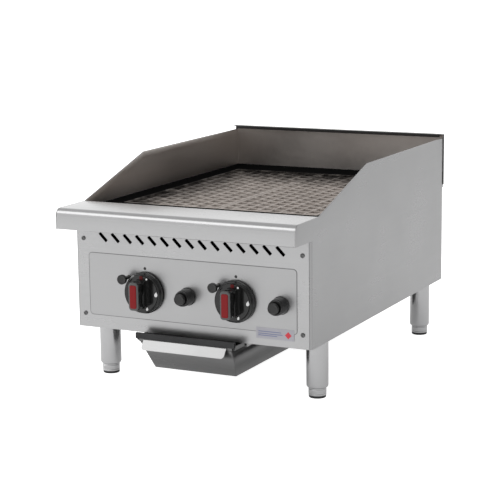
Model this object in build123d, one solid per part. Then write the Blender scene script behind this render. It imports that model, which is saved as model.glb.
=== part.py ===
from build123d import *
from math import cos, radians, sin
import os

# Counter-top gas charbroiler with two burners: folded stainless panels around a firebox, two cast
# grates, a gas train with two valves, push-button igniters, four screw-adjusted legs and a drip
# tray that pulls out below the controls.
#
# Millimetres. +Z is up, the controls face -Y, and +X is to the right of someone facing them.
# The origin is on the counter, under the middle of the outline.

# ---- sheet metal ----
sheet = 1.2  # thickness of every folded panel
fold = 4.0  # outside radius of the body's front and rear corners
small_fold = 2.0  # outside radius of the other folds
edge_break = 0.8  # rounding of a cut sheet's show edge
flange = 28.0  # width of the side panels' front and rear flanges
foot_flange = 45.0  # width of the side panels' bottom flanges
gap = 0.3  # clearance between pieces that move past each other
running = 0.05  # radial clearance of a shaft in its bore

# ---- body ----
body_width = 454.0
body_depth = 638.0  # face of the front panel to the back of the rear guard
body_height = 184.0  # underside of the floor to the deck
leg_height = 100.0
panel_inset = 0.5  # side edge of a flat panel to the start of the corner fold
panel_flange = 14.0  # depth of the front panel's top and bottom flanges
rear_lap = 16.0  # the rear panel reaches this far above the deck
rear_vent_count, rear_vent_pitch, rear_vent_length, rear_vent_width = 9, 36.0, 24.0, 6.0
rear_vent_drops = (51.5, 70.0)  # centre lines of the two rows below the deck

# ---- ledge and guards ----
ledge_overhang = 62.0  # in front of the front panel
ledge_depth = 93.5
ledge_height = 36.0
nose_radius = 13.0
ledge_return = 14.0  # under-side return behind the front panel's face
guard_height = 62.0  # side guards above the ledge
guard_run = 211.0  # length of their sloping edge, front to back
guard_hem = 10.0
rear_rim = 8.0  # the rear guard stands this much above the side guards
rear_hem = 14.0  # depth of the rear guard's folded rim
rear_hem_drop = 6.0
rear_guard_drop = 6.0  # the rear guard ends this far above the deck
rear_wrap = 5.0  # depth of its returns around the side guards

# ---- front panel furniture ----
overlay_margin, overlay_height, overlay_thick = 26.0, 112.0, 0.6  # margin to the body's sides
overlay_rise = 23.3  # above the floor's underside
overlay_corner = 7.0
plate_width, plate_height, plate_thick = 70.0, 19.0, 0.4
plate_inset, plate_rise = 6.0, 12.3  # in from the overlay's right edge
vent_count, vent_pitch, vent_length, vent_width, vent_corner = 15, 24.4, 20.5, 6.0, 1.0
vent_drop = 20.5  # centre line below the deck
vent_slope = -45
screw_inset, screw_low, screw_high = 16.0, 24.5, 159.0
screw_head_radius, screw_head_height = 4.0, 2.2
screw_radius, screw_length = 1.9, 9.0
screw_hole = 2.0

# ---- controls ----
knob_x, knob_rise = 88.0, 72.0  # knob centres from the middle and above the floor's underside
knob_travel = 3.0
knob_radius, dial_radius, dial_depth = 36.5, 34.0, 11.0
skirt_edge, dial_edge, dial_hollow = 2.0, 1.5, 1.5  # the skirt's rim, and the dial's bevel and dish
grip_width, grip_length, grip_depth = 20.0, 50.0, 29.0
grip_corner, grip_round = 6.0, 1.5
insert_width, insert_length, insert_thick, insert_corner = 12.5, 40.5, 2.0, 3.0
insert_proud = 0.6
stem_radius, stem_reach = 4.0, 32.0  # the stem's reach in front of the panel
stem_depth = 36.0  # behind the panel
stem_hole = 5.5
igniter_offset = 83.5  # to the right of each knob
igniter_base, igniter_nose, igniter_length, igniter_flange = 15.8, 13.2, 25.0, 3.0
igniter_nut, igniter_nut_thick = 15.0, 5.0
barrel_radius, barrel_length = 11.5, 33.0
button_radius, button_proud, button_travel = 9.5, 8.0, 5.0
pilot_angle, pilot_clear = 143.6, 1.0  # direction from each knob, and gap from its skirt to the rod
pilot_head_radius, pilot_head_length, pilot_head_round = 8.5, 6.0, 1.2
pilot_rod_radius, pilot_rod_depth = 3.5, 10.0
pilot_reach, pilot_travel = 26.0, 4.0  # head in front of the panel, and how far it is pushed
pilot_body_radius, pilot_body_length = 11.0, 36.0

# ---- gas train ----
valve_width, valve_depth, valve_height = 26.0, 36.0, 28.0
valve_setback = 8.0  # behind the panel's face
pipe_radius, pipe_wall, pipe_bend = 10.65, 2.6, 22.0
pipe_setback = 28.0  # pipe centre line behind the panel's face
pipe_clear = 1.35  # between the pipe and the right firebox wall
tap_radius, tap_seat = 8.0, 6.5  # the bosses on the pipe, and where they start above its axis
tap_neck, feed_neck = 2.5, 2.0  # height of the bosses for the valves and for the pilot feeds
pipe_overhang = 40.0  # the pipe's closed end, beyond the left valve
orifice_radius, orifice_length, orifice_bore = 4.0, 12.0, 0.6
tube_radius, feed_boss = 2.0, 4.0
nozzle_radius, nozzle_length, nozzle_bore = 5.0, 20.0, 3.0
coupling_wall, coupling_length = 2.35, 28.0
inlet_hex, inlet_hex_length, inlet_stand = 12.0, 8.0, 2.0

# ---- firebox ----
firebox_inset = 34.0  # wall's outer face in from the body's side
firebox_front = 103.0  # front wall's inner face behind the front panel
firebox_back = 73.0  # rear wall's inner face in front of the body's back
firebox_drop = 11.5  # top flange below the ledge
burner_radius, burner_wall, mouth_radius = 21.0, 2.0, 17.0
mouth_length = 44.0  # in front of the firebox wall
burner_port, burner_ports = 1.6, 18
burner_pin, burner_taper, burner_rear_gap = 6.0, 16.0, 15.0
port_rise = 7.4  # the flame ports above the burner's axis
end_gap = 4.0  # radiants and burner tubes stop this far from the firebox walls
shutter_thick, shutter_length = 2.0, 12.0
window_length, window_height = 6.0, 14.0
radiant_half, radiant_rise, radiant_thick = 48.0, 30.0, 3.0
radiant_z = 58.0  # radiant's foot above the burner's axis
shelf_depth = 12.0
hood_radius, hood_length, hood_setback = 5.0, 15.0, 20.0  # setback: behind the firebox's front wall
electrode_radius, electrode_length = 3.0, 46.0
electrode_tip, electrode_wire = 1.0, 8.0  # radius and length of the bare tip
electrode_offset, electrode_rise = 34.0, 18.0

# ---- grates ----
grate_thick = 10.0
grate_gap, grate_rise = 1.3, 0.3  # clearance to the firebox walls, and rise above their flanges
grate_split = 1.0
grate_border, grate_bar = 7.0, 6.0
grate_columns, grate_rows = 8, 17
support_width, support_height = 8.0, 12.0

# ---- drip tray ----
tray_bottom, tray_top = 80.0, 90.0  # half widths
tray_height, tray_clear = 55.0, 9.0  # height of the pan, and its rim below the body's floor
tray_front, tray_rear_gap = 23.0, 105.0  # in front of the panel's face, and short of the body's back
tray_slope = 35.0  # how far its front and rear walls lean
rim_width, rim_height = 5.5, 7.5
rail_gap = 1.5
rail_lip, rail_foot, rail_end = 5.8, 22.0, 4.0
wall_rise = 13.0  # the tray's front wall above its rim
grip_bar_half, grip_bar_height, grip_bar_wall = 95.0, 10.0, 2.0
grip_bar_rise = 5.3  # its top above the body's floor
lip_half, lip_drop, lip_out, lip_corner = 80.0, 16.5, 12.0, 6.0
grease_half, grease_front, grease_rear_gap = 80.0, 107.0, 110.0  # the floor's opening

# ---- legs ----
leg_inset, leg_front, leg_back = 22.0, 71.7, 69.5
leg_radius, leg_wall, leg_round = 19.0, 1.5, 3.0
leg_cap, leg_plug = 3.0, 20.0
foot_radius, foot_height, pad_height = 15.5, 18.0, 4.0
stud_radius, stud_length = 8.0, 27.0
bolt_radius, bolt_hole, bolt_length = 4.9, 5.2, 14.0
bolt_head, bolt_head_height = 8.5, 6.4

# ---- places worked out from the sizes above ----
inlet_reach = inlet_stand + inlet_hex_length + nozzle_length
half = body_width / 2
front_y = ledge_overhang - (body_depth + ledge_overhang + inlet_reach) / 2
nose_y = front_y - ledge_overhang
back_y = front_y + body_depth
rear_y = back_y - sheet  # outer face of the rear panel
inner = half - sheet  # inner face of the side panels and guards
floor_z = leg_height
deck_z = floor_z + body_height
ledge_z = deck_z + ledge_height
guard_z = ledge_z + guard_height
rim_z = guard_z + rear_rim
slope_y = nose_y + ledge_depth
kink_y = slope_y + guard_run
panel_half = half - fold - panel_inset
overlay_width = body_width - 2 * overlay_margin
overlay_y = front_y - overlay_thick
plate_right = overlay_width / 2 - plate_inset
knob_z = floor_z + knob_rise
knob_y = overlay_y - knob_travel - gap  # back of the knob's skirt
igniter_y = overlay_y - igniter_length
pilot_distance = knob_radius + pilot_clear + pilot_rod_radius
pilot_offset = pilot_distance * cos(radians(pilot_angle))
pilot_rise = pilot_distance * sin(radians(pilot_angle))
valve_y = front_y + valve_setback
valve_back = valve_y + valve_depth
pipe_y = front_y + pipe_setback
tap_z = knob_z - valve_height / 2
pipe_z = tap_z - pipe_radius - tap_neck
feed_z = pipe_z + pipe_radius + feed_neck
pilot_back = front_y + sheet + pilot_body_length
firebox_x = half - firebox_inset
pipe_x = firebox_x + pipe_clear + pipe_radius
firebox_y0 = front_y + firebox_front
firebox_y1 = back_y - firebox_back
firebox_z = ledge_z - firebox_drop
hood_y = firebox_y0 + hood_setback
pan_z = floor_z + sheet  # underside of the floor pan
pan_top = pan_z + sheet
shelf_z = knob_z + radiant_z
grate_z = firebox_z + grate_rise - grate_thick
rest_z = grate_z - gap
grate_x = firebox_x - sheet - grate_gap
grate_y0 = firebox_y0 + grate_gap
grate_y1 = firebox_y1 - grate_gap
tray_rim_z = floor_z - tray_clear
tray_z = tray_rim_z - tray_height
tray_y0 = front_y - tray_front
tray_y1 = back_y - tray_rear_gap
leg_x = half - leg_inset
leg_places = {
    "front_left": (-leg_x, front_y + leg_front),
    "front_right": (leg_x, front_y + leg_front),
    "rear_left": (-leg_x, back_y - leg_back),
    "rear_right": (leg_x, back_y - leg_back),
}
knob_places = {"left": -knob_x, "right": knob_x}

parts = {}


# ---- helpers ----
def block(x, y, z):
    """A box between two x, two y and two z planes."""
    middle = [(a + b) / 2 for a, b in (x, y, z)]
    return Pos(*middle) * Box(*[abs(b - a) for a, b in (x, y, z)])


def rod(radius, start, end):
    """A round bar from one point to another."""
    axis = Vector(*end) - Vector(*start)
    return extrude(Plane(origin=start, z_dir=axis) * Circle(radius), amount=axis.length)


def along_y(radius, x, z, y0, y1):
    """A round bar parallel to Y."""
    return rod(radius, (x, y0, z), (x, y1, z))


def turned(x, z, profile):
    """A solid turned about the line through (x, z) parallel to Y, from (radius, y) points."""
    face = make_face(Polyline(*[(x + r, y, z) for r, y in profile], close=True))
    return revolve(face, Axis((x, 0, z), (0, 1, 0)))


def folded(points, radii, side):
    """The section, in Y and Z, of a sheet folded along the given line."""
    line = FilletPolyline(*points, radius=radii)
    return Plane.YZ * make_face(offset(line, amount=sheet, side=side))


def across(section, x):
    """A section in Y and Z carried across X, from -x to x."""
    return extrude(section, amount=x, both=True)


def front_face(y):
    """A plane that faces the user, with local x to the right and local y up."""
    return Plane(origin=(0, y, 0), x_dir=(1, 0, 0), z_dir=(0, -1, 0))


def hexagon(radius, x, z, y0, y1):
    """A hexagonal bar parallel to Y; radius is across its flats, halved."""
    shape = Pos(x, z) * RegularPolygon(radius, 6, major_radius=False)
    return extrude(front_face(y1) * shape, amount=y1 - y0)


def add_pair(name, shape):
    """Keep a right-hand piece and its mirror image."""
    parts["right_" + name] = shape
    parts["left_" + name] = mirror(shape, about=Plane.YZ)


def control_holes(stem, barrel, button, y0, y1):
    """The bars that cut the holes for both sets of controls; the first three values are radii."""
    cuts = []
    for x in knob_places.values():
        cuts.append(along_y(stem, x, knob_z, y0, y1))
        cuts.append(along_y(barrel, x + igniter_offset, knob_z, y0, y1))
        cuts.append(along_y(button, x + pilot_offset, knob_z + pilot_rise, y0, y1))
    return cuts


def screw_places():
    """Where the panel screws stand: x and z."""
    heights = (floor_z + screw_low, floor_z + screw_high)
    return [(side * (half - screw_inset), z) for side in (-1, 1) for z in heights]


def screw_holes(y0, y1):
    return [along_y(screw_hole, x, z, y0, y1) for x, z in screw_places()]


def bolt_holes(z0, z1):
    return [rod(bolt_hole, (x, y, z0), (x, y, z1)) for x, y in leg_places.values()]


# ---- body panels ----
def side_panel():
    """The right side: a sheet with flanges turned in at the front, rear and bottom."""
    y0, y1 = front_y + sheet, rear_y - sheet
    line = FilletPolyline((half - flange, y0), (half, y0), (half, y1), (half - flange, y1), radius=fold)
    section = make_face(offset(line, amount=sheet, side=Side.LEFT))
    wall = Pos(0, 0, floor_z) * extrude(section, amount=body_height)
    foot = block((half - foot_flange, half - sheet / 2), (y0 + fold, y1 - fold), (floor_z, pan_z))
    holes = bolt_holes(floor_z - 1, pan_z + 1) + screw_holes(front_y, y0 + 2 * sheet)
    holes += screw_holes(y1 - 2 * sheet, rear_y)
    holes.append(along_y(pipe_radius + gap, pipe_x, pipe_z, y1 - 2 * sheet, rear_y))
    return wall + foot - holes


def rear_panel():
    """A flat panel with two rows of vent slots, lapped by the rear guard."""
    panel = block((-panel_half, panel_half), (rear_y - sheet, rear_y), (floor_z, deck_z + rear_lap))
    slots = [
        Pos((i - (rear_vent_count - 1) / 2) * rear_vent_pitch, deck_z - drop)
        * SlotOverall(rear_vent_length, rear_vent_width)
        for i in range(rear_vent_count)
        for drop in rear_vent_drops
    ]
    cut = extrude(front_face(rear_y + 1) * (Sketch() + slots), amount=4 * sheet)
    holes = screw_holes(rear_y - 2 * sheet, rear_y + 1)
    return panel - cut - along_y(pipe_radius + gap, pipe_x, pipe_z, rear_y - 3, rear_y + 1) - holes


def floor_pan():
    """The floor on the side panels' bottom flanges, open in the middle for grease to fall through."""
    y0, y1 = front_y + 2 * sheet + gap, rear_y - 2 * sheet - gap
    outline = RectangleRounded(2 * (inner - gap), y1 - y0, fold)
    pan = Pos(0, (y0 + y1) / 2, pan_z) * extrude(outline, amount=sheet)
    opening_y = (front_y + grease_front, back_y - grease_rear_gap)
    opening = block((-grease_half, grease_half), opening_y, (floor_z, pan_top + 1))
    return pan - opening - bolt_holes(floor_z, pan_top + 1)


def front_panel():
    """The control panel: a flat face with top and bottom flanges and a row of slanted vents."""
    face = block((-panel_half, panel_half), (front_y, front_y + sheet), (floor_z, deck_z))
    low = fillet(face.edges().filter_by(Axis.X).group_by(Axis.Y)[0], edge_break)
    top_half = half - flange - panel_inset
    bottom_half = half - foot_flange - panel_inset
    depth = (front_y + sheet / 2, front_y + panel_flange)
    top = block((-top_half, top_half), depth, (deck_z - sheet, deck_z))
    bottom = block((-bottom_half, bottom_half), depth, (floor_z, pan_z))
    vents = [
        Pos((i - (vent_count - 1) / 2) * vent_pitch, deck_z - vent_drop)
        * RectangleRounded(vent_length, vent_width, vent_corner, rotation=vent_slope)
        for i in range(vent_count)
    ]
    cut = extrude(front_face(front_y + 2 * sheet) * (Sketch() + vents), amount=4 * sheet)
    span = (front_y - 1, front_y + 2 * sheet)
    holes = control_holes(stem_hole, barrel_radius + gap, pilot_rod_radius + gap, *span)
    return low + top + bottom - cut - holes - screw_holes(*span)


def control_overlay():
    """The thin printed sheet behind the knobs."""
    middle = floor_z + overlay_rise + overlay_height / 2
    outline = Pos(0, middle) * RectangleRounded(overlay_width, overlay_height, overlay_corner)
    film = extrude(front_face(front_y) * outline, amount=overlay_thick)
    return film - control_holes(
        stem_hole, barrel_radius + gap, pilot_rod_radius + gap, overlay_y - 1, front_y + 1
    )


def data_plate():
    """A blank adhesive plate across the overlay's lower edge."""
    x = (plate_right - plate_width, plate_right)
    z0, z1 = floor_z + plate_rise, floor_z + plate_rise + plate_height
    front = block(x, (overlay_y - plate_thick, overlay_y), (z0, z1))
    return front + block(x, (overlay_y - plate_thick, front_y), (z0, floor_z + overlay_rise))


def front_ledge():
    """The bull-nosed work ledge: a folded channel that hooks over the firebox flange."""
    points = [
        (slope_y, firebox_z),
        (slope_y, ledge_z),
        (nose_y, ledge_z),
        (nose_y, deck_z),
        (front_y + ledge_return, deck_z),
    ]
    return across(folded(points, [small_fold, nose_radius, small_fold], Side.LEFT), inner)


def side_guard():
    """The right guard, in one sheet with the ledge's end, and hemmed along its top."""
    outline = Polyline(
        (nose_y, deck_z),
        (nose_y, ledge_z),
        (slope_y, ledge_z),
        (kink_y, guard_z),
        (rear_y, guard_z),
        (rear_y, deck_z),
        close=True,
    )
    face = make_face(outline)
    nose = face.vertices().sort_by_distance((nose_y, ledge_z))[0]
    guard = extrude(Plane.YZ.offset(inner) * fillet(nose, nose_radius), amount=sheet)
    top = Polyline((slope_y, ledge_z), (kink_y, guard_z), (rear_y, guard_z))
    hem = make_face(offset(top, amount=guard_hem, side=Side.RIGHT))
    band = extrude(Plane.YZ.offset(inner - sheet) * hem, amount=sheet)
    return guard + band


def back_guard():
    """The rear guard: a sheet with a folded rim and short returns around the side guards."""
    low = deck_z + rear_guard_drop
    points = [
        (back_y, low),
        (back_y, rim_z),
        (back_y - rear_hem, rim_z),
    ]
    wrap = half + sheet
    sheet_and_rim = across(folded(points, [small_fold], Side.LEFT), wrap)
    lip = block(
        (-inner + 2 * sheet, inner - 2 * sheet),
        (back_y - rear_hem, back_y - rear_hem + sheet),
        (rim_z - rear_hem_drop, rim_z - sheet / 2),
    )
    depth, height = (back_y - rear_wrap, back_y - sheet / 2), (low, rim_z - sheet / 2)
    returns = [block((side * half, side * wrap), depth, height) for side in (-1, 1)]
    return sheet_and_rim + lip + returns


def panel_screws():
    """Cross-head screws that hold the front and rear panels to the side flanges."""
    screws = []
    for x, z in screw_places():
        for face, outward in ((front_y, -1), (rear_y, 1)):
            tip = face - outward * screw_length
            crown = face + outward * screw_head_height
            rim = face + outward * screw_head_height * 0.4
            screw = turned(
                x,
                z,
                [
                    (0, tip),
                    (screw_radius, tip),
                    (screw_radius, face),
                    (screw_head_radius, face),
                    (screw_head_radius, rim),
                    (screw_head_radius * 0.7, crown),
                    (0, crown),
                ],
            )
            deep = (face + outward * screw_head_height / 2, crown + outward)
            arm, slit = screw_head_radius * 0.55, 0.5
            cross = block((x - arm, x + arm), deep, (z - slit, z + slit))
            cross += block((x - slit, x + slit), deep, (z - arm, z + arm))
            screws.append(screw - cross)
    return Compound(children=[s.solid() for s in screws])


# ---- firebox and grates ----
def firebox_side():
    """The right firebox wall, with a flange that reaches the side guard."""
    wall = block((firebox_x - sheet, firebox_x), (firebox_y0, firebox_y1), (pan_top, firebox_z))
    top = block((firebox_x - sheet, inner - gap), (firebox_y0, firebox_y1), (firebox_z - sheet, firebox_z))
    return wall + top


def firebox_end(wall_y, outward, reach):
    """A front or rear firebox wall, with its top flange and the shelves for the grates and radiants."""
    x = (-firebox_x, firebox_x)
    wall = block(x, (wall_y, wall_y + outward * sheet), (pan_top, firebox_z))
    top = block((gap - inner, inner - gap), (wall_y, reach), (firebox_z - sheet, firebox_z))
    shelf_x = (sheet - firebox_x, firebox_x - sheet)
    shelf_y = (wall_y + outward * sheet / 2, wall_y - outward * shelf_depth)
    shelves = [block(shelf_x, shelf_y, (z - sheet, z)) for z in (shelf_z, rest_z)]
    return wall + top + shelves


def firebox_front_wall():
    wall = firebox_end(firebox_y0, -1, slope_y - sheet)
    cuts = []
    for x in knob_places.values():
        span = (firebox_y0 - 2 * sheet, firebox_y0 + 1)
        cuts.append(along_y(mouth_radius + 0.2, x, knob_z, *span))
        cuts.append(along_y(tube_radius + gap, x + pilot_offset, knob_z + pilot_rise, *span))
        cuts.append(along_y(electrode_radius + 0.1, x + electrode_offset, knob_z + electrode_rise, *span))
    return wall - cuts


def firebox_rear_wall():
    wall = firebox_end(firebox_y1, 1, rear_y - gap)
    span = (firebox_y1 - 1, firebox_y1 + 2 * sheet)
    return wall - [along_y(burner_pin + 0.1, x, knob_z, *span) for x in knob_places.values()]


def grate():
    """The right-hand cast grate: straight bars along Y, and short cross bars that step by half."""
    x0, x1 = grate_split / 2, grate_x
    width = (x1 - x0 - 2 * grate_border + grate_bar) / grate_columns
    depth = (grate_y1 - grate_y0 - 2 * grate_border + grate_bar) / grate_rows
    cells = []
    for column in range(grate_columns):
        x = x0 + grate_border + column * width + (width - grate_bar) / 2
        start = grate_y0 + grate_border
        if column % 2:
            steps = [depth / 2] + [depth] * (grate_rows - 1) + [depth / 2]
        else:
            steps = [depth] * grate_rows
        for step in steps:
            opening = Rectangle(width - grate_bar, step - grate_bar)
            cells.append(Pos(x, start + (step - grate_bar) / 2) * opening)
            start += step
    plate = Pos((x0 + x1) / 2, (grate_y0 + grate_y1) / 2) * Rectangle(x1 - x0, grate_y1 - grate_y0)
    return Pos(0, 0, grate_z) * extrude(plate - cells, amount=grate_thick)


def grate_support():
    """The bar down the middle of the firebox that carries both grates' inner edges."""
    x = (-support_width / 2, support_width / 2)
    y = (firebox_y0 + shelf_depth, firebox_y1 - shelf_depth)
    return block(x, y, (rest_z - support_height, rest_z))


def radiant(x):
    """An inverted-V heat deflector over one burner, resting on the firebox shelves."""
    y = (firebox_y0 + end_gap, firebox_y1 - end_gap)
    rise = shelf_z + radiant_rise
    points = [
        (x - radiant_half, y[0], shelf_z),
        (x, y[0], rise),
        (x + radiant_half, y[0], shelf_z),
        (x + radiant_half - 2 * radiant_thick, y[0], shelf_z),
        (x, y[0], rise - 1.2 * radiant_thick),
        (x - radiant_half + 2 * radiant_thick, y[0], shelf_z),
    ]
    return extrude(make_face(Polyline(*points, close=True)), amount=y[1] - y[0], dir=(0, 1, 0))


# ---- burners and gas train ----
def burner(x):
    """A tube burner: a mouth that takes the gas jet and air, a ported tube, and a rear pin."""
    y0 = firebox_y0 - mouth_length
    tube0, tube1 = firebox_y0 + end_gap, firebox_y1 - burner_rear_gap
    end = firebox_y1 + 2 * sheet
    bore, mouth_bore = burner_radius - burner_wall, mouth_radius - burner_wall
    body = turned(
        x,
        knob_z,
        [
            (mouth_bore, y0),
            (mouth_radius, y0),
            (mouth_radius, tube0),
            (burner_radius, tube0 + burner_taper),
            (burner_radius, tube1),
            (burner_pin, tube1),
            (burner_pin, end),
            (0, end),
            (0, tube1 - burner_wall),
            (bore, tube1 - burner_wall),
            (bore, tube0 + burner_taper),
            (mouth_bore, tube0),
        ],
    )
    step = (tube1 - tube0 - 3 * burner_taper) / (burner_ports - 1)
    reach = burner_radius + 1
    z = knob_z + port_rise
    places = [tube0 + 2 * burner_taper + i * step for i in range(burner_ports)]
    ports = [rod(burner_port, (x - reach, y, z), (x + reach, y, z)) for y in places]
    return body - ports - air_windows(x)


def air_windows(x):
    """The side openings of a burner's mouth, which its shutter covers and uncovers."""
    y = firebox_y0 - mouth_length + shutter_length / 2
    reach = mouth_radius + 2 * shutter_thick
    return block(
        (x - reach, x + reach), (y - window_length / 2, y + window_length / 2),
        (knob_z - window_height / 2, knob_z + window_height / 2),
    )


def air_shutter(x):
    """The ring that turns on the burner's mouth to set the air."""
    y0 = firebox_y0 - mouth_length
    y1 = y0 + shutter_length
    ring = along_y(mouth_radius + shutter_thick, x, knob_z, y0, y1)
    return ring - along_y(mouth_radius + running, x, knob_z, y0 - 1, y1 + 1) - air_windows(x)


def gas_manifold():
    """The pipe that runs behind the panel and down the right side, with a boss under each valve."""
    end = rear_y - sheet - coupling_length / 2
    start = (-knob_x - pipe_overhang, pipe_y, pipe_z)
    path = FilletPolyline(start, (pipe_x, pipe_y, pipe_z), (pipe_x, end, pipe_z), radius=pipe_bend)
    ring = Plane(origin=start, z_dir=(1, 0, 0)) * (Circle(pipe_radius) - Circle(pipe_radius - pipe_wall))
    pipe = sweep(ring, path=path)
    cap = rod(pipe_radius, (start[0] - pipe_wall, pipe_y, pipe_z), start)
    bosses = []
    for x in knob_places.values():
        bosses.append(rod(tap_radius, (x, pipe_y, pipe_z + tap_seat), (x, pipe_y, tap_z)))
    low = pipe_z + pipe_radius - pipe_wall / 2
    for x, z in pilot_places():
        bosses.append(rod(feed_boss, (x, pipe_y, low), (x, pipe_y, feed_z)))
    return pipe + cap + bosses


def gas_inlet():
    """The coupling on the manifold's end, and the hose nozzle behind the body."""
    y0 = rear_y - sheet - coupling_length
    y1 = rear_y - 3 * sheet
    hex_end = back_y + inlet_stand + inlet_hex_length
    neck = along_y(pipe_radius - 0.1, pipe_x, pipe_z, y1 - 1, back_y + inlet_stand + 1)
    body = along_y(pipe_radius + coupling_wall, pipe_x, pipe_z, y0, y1) + neck
    body += hexagon(inlet_hex, pipe_x, pipe_z, hex_end - inlet_hex_length, hex_end)
    body += along_y(nozzle_radius, pipe_x, pipe_z, hex_end - 1, hex_end + nozzle_length)
    body -= along_y(pipe_radius, pipe_x, pipe_z, y0 - 1, y0 + coupling_length / 2)
    return body - along_y(nozzle_bore, pipe_x, pipe_z, y0, hex_end + nozzle_length + 1)


def gas_valves():
    """Two valve bodies on the manifold's bosses, each bored for its stem and its jet."""
    valves = []
    for x in knob_places.values():
        sides = (x - valve_width / 2, x + valve_width / 2)
        body = block(sides, (valve_y, valve_back), (tap_z, knob_z + valve_height / 2))
        body = fillet(body.edges().filter_by(Axis.Y), 3)
        body += along_y(barrel_radius, x, knob_z, front_y + sheet, valve_y + 1)
        body -= along_y(stem_radius + running, x, knob_z, front_y, front_y + stem_depth + 2)
        seat = along_y(orifice_radius, x, knob_z, valve_back - orifice_length / 2, valve_back + 1)
        valves.append(body - seat)
    return Compound(children=[v.solid() for v in valves])


def gas_orifices():
    """The brass jets that face the burners' mouths."""
    jets = []
    for x in knob_places.values():
        y0, y1 = valve_back - orifice_length / 2, valve_back + orifice_length / 2
        jet = along_y(orifice_radius, x, knob_z, y0, y1)
        jets.append(jet - along_y(orifice_bore, x, knob_z, y0 - 1, y1 + 1))
    return Compound(children=[j.solid() for j in jets])


def pilot_places():
    """The centres of the two pilot valves: x and z."""
    return [(x + pilot_offset, knob_z + pilot_rise) for x in knob_places.values()]


def pilot_valves():
    """Two small push valves behind the panel, bored for the rods of their buttons."""
    valves = []
    for x, z in pilot_places():
        body = along_y(pilot_body_radius, x, z, front_y + sheet, pilot_back)
        body += rod(feed_boss, (x, pipe_y, z - pilot_body_radius - feed_neck), (x, pipe_y, z))
        bore_end = front_y + pilot_rod_depth + pilot_travel + 2
        valves.append(body - along_y(pilot_rod_radius + running, x, z, front_y, bore_end))
    return Compound(children=[v.solid() for v in valves])


def pilot_tubes():
    """Thin tubes from the manifold to each pilot valve and on to its hooded pilot burner."""
    pieces = []
    for x, z in pilot_places():
        feed_top = z - pilot_body_radius - feed_neck
        pieces.append(rod(tube_radius, (x, pipe_y, feed_z), (x, pipe_y, feed_top)))
        pieces.append(along_y(tube_radius, x, z, pilot_back, hood_y + hood_length / 2))
        hood = along_y(hood_radius, x, z, hood_y, hood_y + hood_length)
        pieces.append(hood - along_y(tube_radius, x, z, hood_y - 1, hood_y + hood_length / 2))
    return Compound(children=[p.solid() for p in pieces])


def spark_electrodes():
    """Ceramic igniter rods through the firebox wall, each with a thin wire tip."""
    rods = []
    for x in knob_places.values():
        ex, ez = x + electrode_offset, knob_z + electrode_rise
        y0 = firebox_y0 - electrode_length / 2
        ceramic = along_y(electrode_radius, ex, ez, y0, y0 + electrode_length)
        y1 = y0 + electrode_length
        rods.append(ceramic + along_y(electrode_tip, ex, ez, y1, y1 + electrode_wire))
    return Compound(children=[r.solid() for r in rods])


# ---- knobs and buttons ----
def valve_stem(x):
    """The shaft that turns in a valve and carries its knob."""
    return along_y(stem_radius, x, knob_z, front_y - stem_reach, front_y + stem_depth)


def knob(x):
    """A skirted dial with an upright grip across it, bored for the stem and pocketed for its insert."""
    dial_y = knob_y - dial_depth
    grip_y = dial_y - grip_depth
    body = turned(
        x,
        knob_z,
        [
            (0, knob_y),
            (knob_radius, knob_y),
            (knob_radius, knob_y - skirt_edge),
            (dial_radius + dial_edge / 2, dial_y + dial_edge),
            (dial_radius - dial_edge / 2, dial_y),
            (0, dial_y - dial_hollow),
        ],
    )
    outline = Pos(x, knob_z) * RectangleRounded(grip_width, grip_length, grip_corner)
    grip = extrude(front_face(dial_y + 2 * dial_edge) * outline, amount=grip_depth + 2 * dial_edge)
    grip = fillet(grip.faces().sort_by(Axis.Y)[0].edges(), grip_round)
    pocket = Pos(x, knob_z) * RectangleRounded(insert_width, insert_length, insert_corner)
    body = body + grip - extrude(front_face(grip_y + insert_thick) * pocket, amount=insert_thick + 1)
    bore_end = front_y - stem_reach - knob_travel - 1
    return body - along_y(stem_radius + running, x, knob_z, bore_end, knob_y + 1)


def knob_insert(x):
    """The coloured strip let into the grip."""
    shape = Pos(x, knob_z) * RectangleRounded(insert_width, insert_length, insert_corner)
    back = knob_y - dial_depth - grip_depth + insert_thick
    strip = extrude(front_face(back) * shape, amount=insert_thick + insert_proud)
    return fillet(strip.faces().sort_by(Axis.Y)[0].edges(), insert_proud * 0.8)


def igniter_housings():
    """Two tapered housings on the panel, with their barrels and nuts behind it."""
    housings = []
    for knob_place in knob_places.values():
        x = knob_place + igniter_offset
        body = turned(
            x,
            knob_z,
            [
                (0, front_y + barrel_length),
                (barrel_radius, front_y + barrel_length),
                (barrel_radius, overlay_y),
                (igniter_base, overlay_y),
                (igniter_base, overlay_y - igniter_flange),
                (igniter_nose + 0.8, igniter_y + 2),
                (igniter_nose, igniter_y + 0.8),
                (igniter_nose - 1, igniter_y),
                (0, igniter_y),
            ],
        )
        nut = hexagon(igniter_nut, x, knob_z, front_y + sheet, front_y + sheet + igniter_nut_thick)
        bore = along_y(button_radius + running, x, knob_z, igniter_y - 1, overlay_y + button_travel + 3)
        housings.append(body + nut - bore)
    return Compound(children=[h.solid() for h in housings])


def igniter_button(x):
    """The plunger that slides in an igniter housing."""
    plunger = along_y(button_radius, x, knob_z, igniter_y - button_proud, overlay_y + 2)
    return fillet(plunger.edges().sort_by(Axis.Y)[0], 1)


def pilot_button(x, z):
    """The push button of a pilot valve: a round head on a rod that slides through the panel."""
    front = front_y - pilot_reach
    head = along_y(pilot_head_radius, x, z, front, front + pilot_head_length)
    head = fillet(head.edges(), pilot_head_round)
    return head + along_y(pilot_rod_radius, x, z, front + 1, front_y + pilot_rod_depth)


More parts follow.
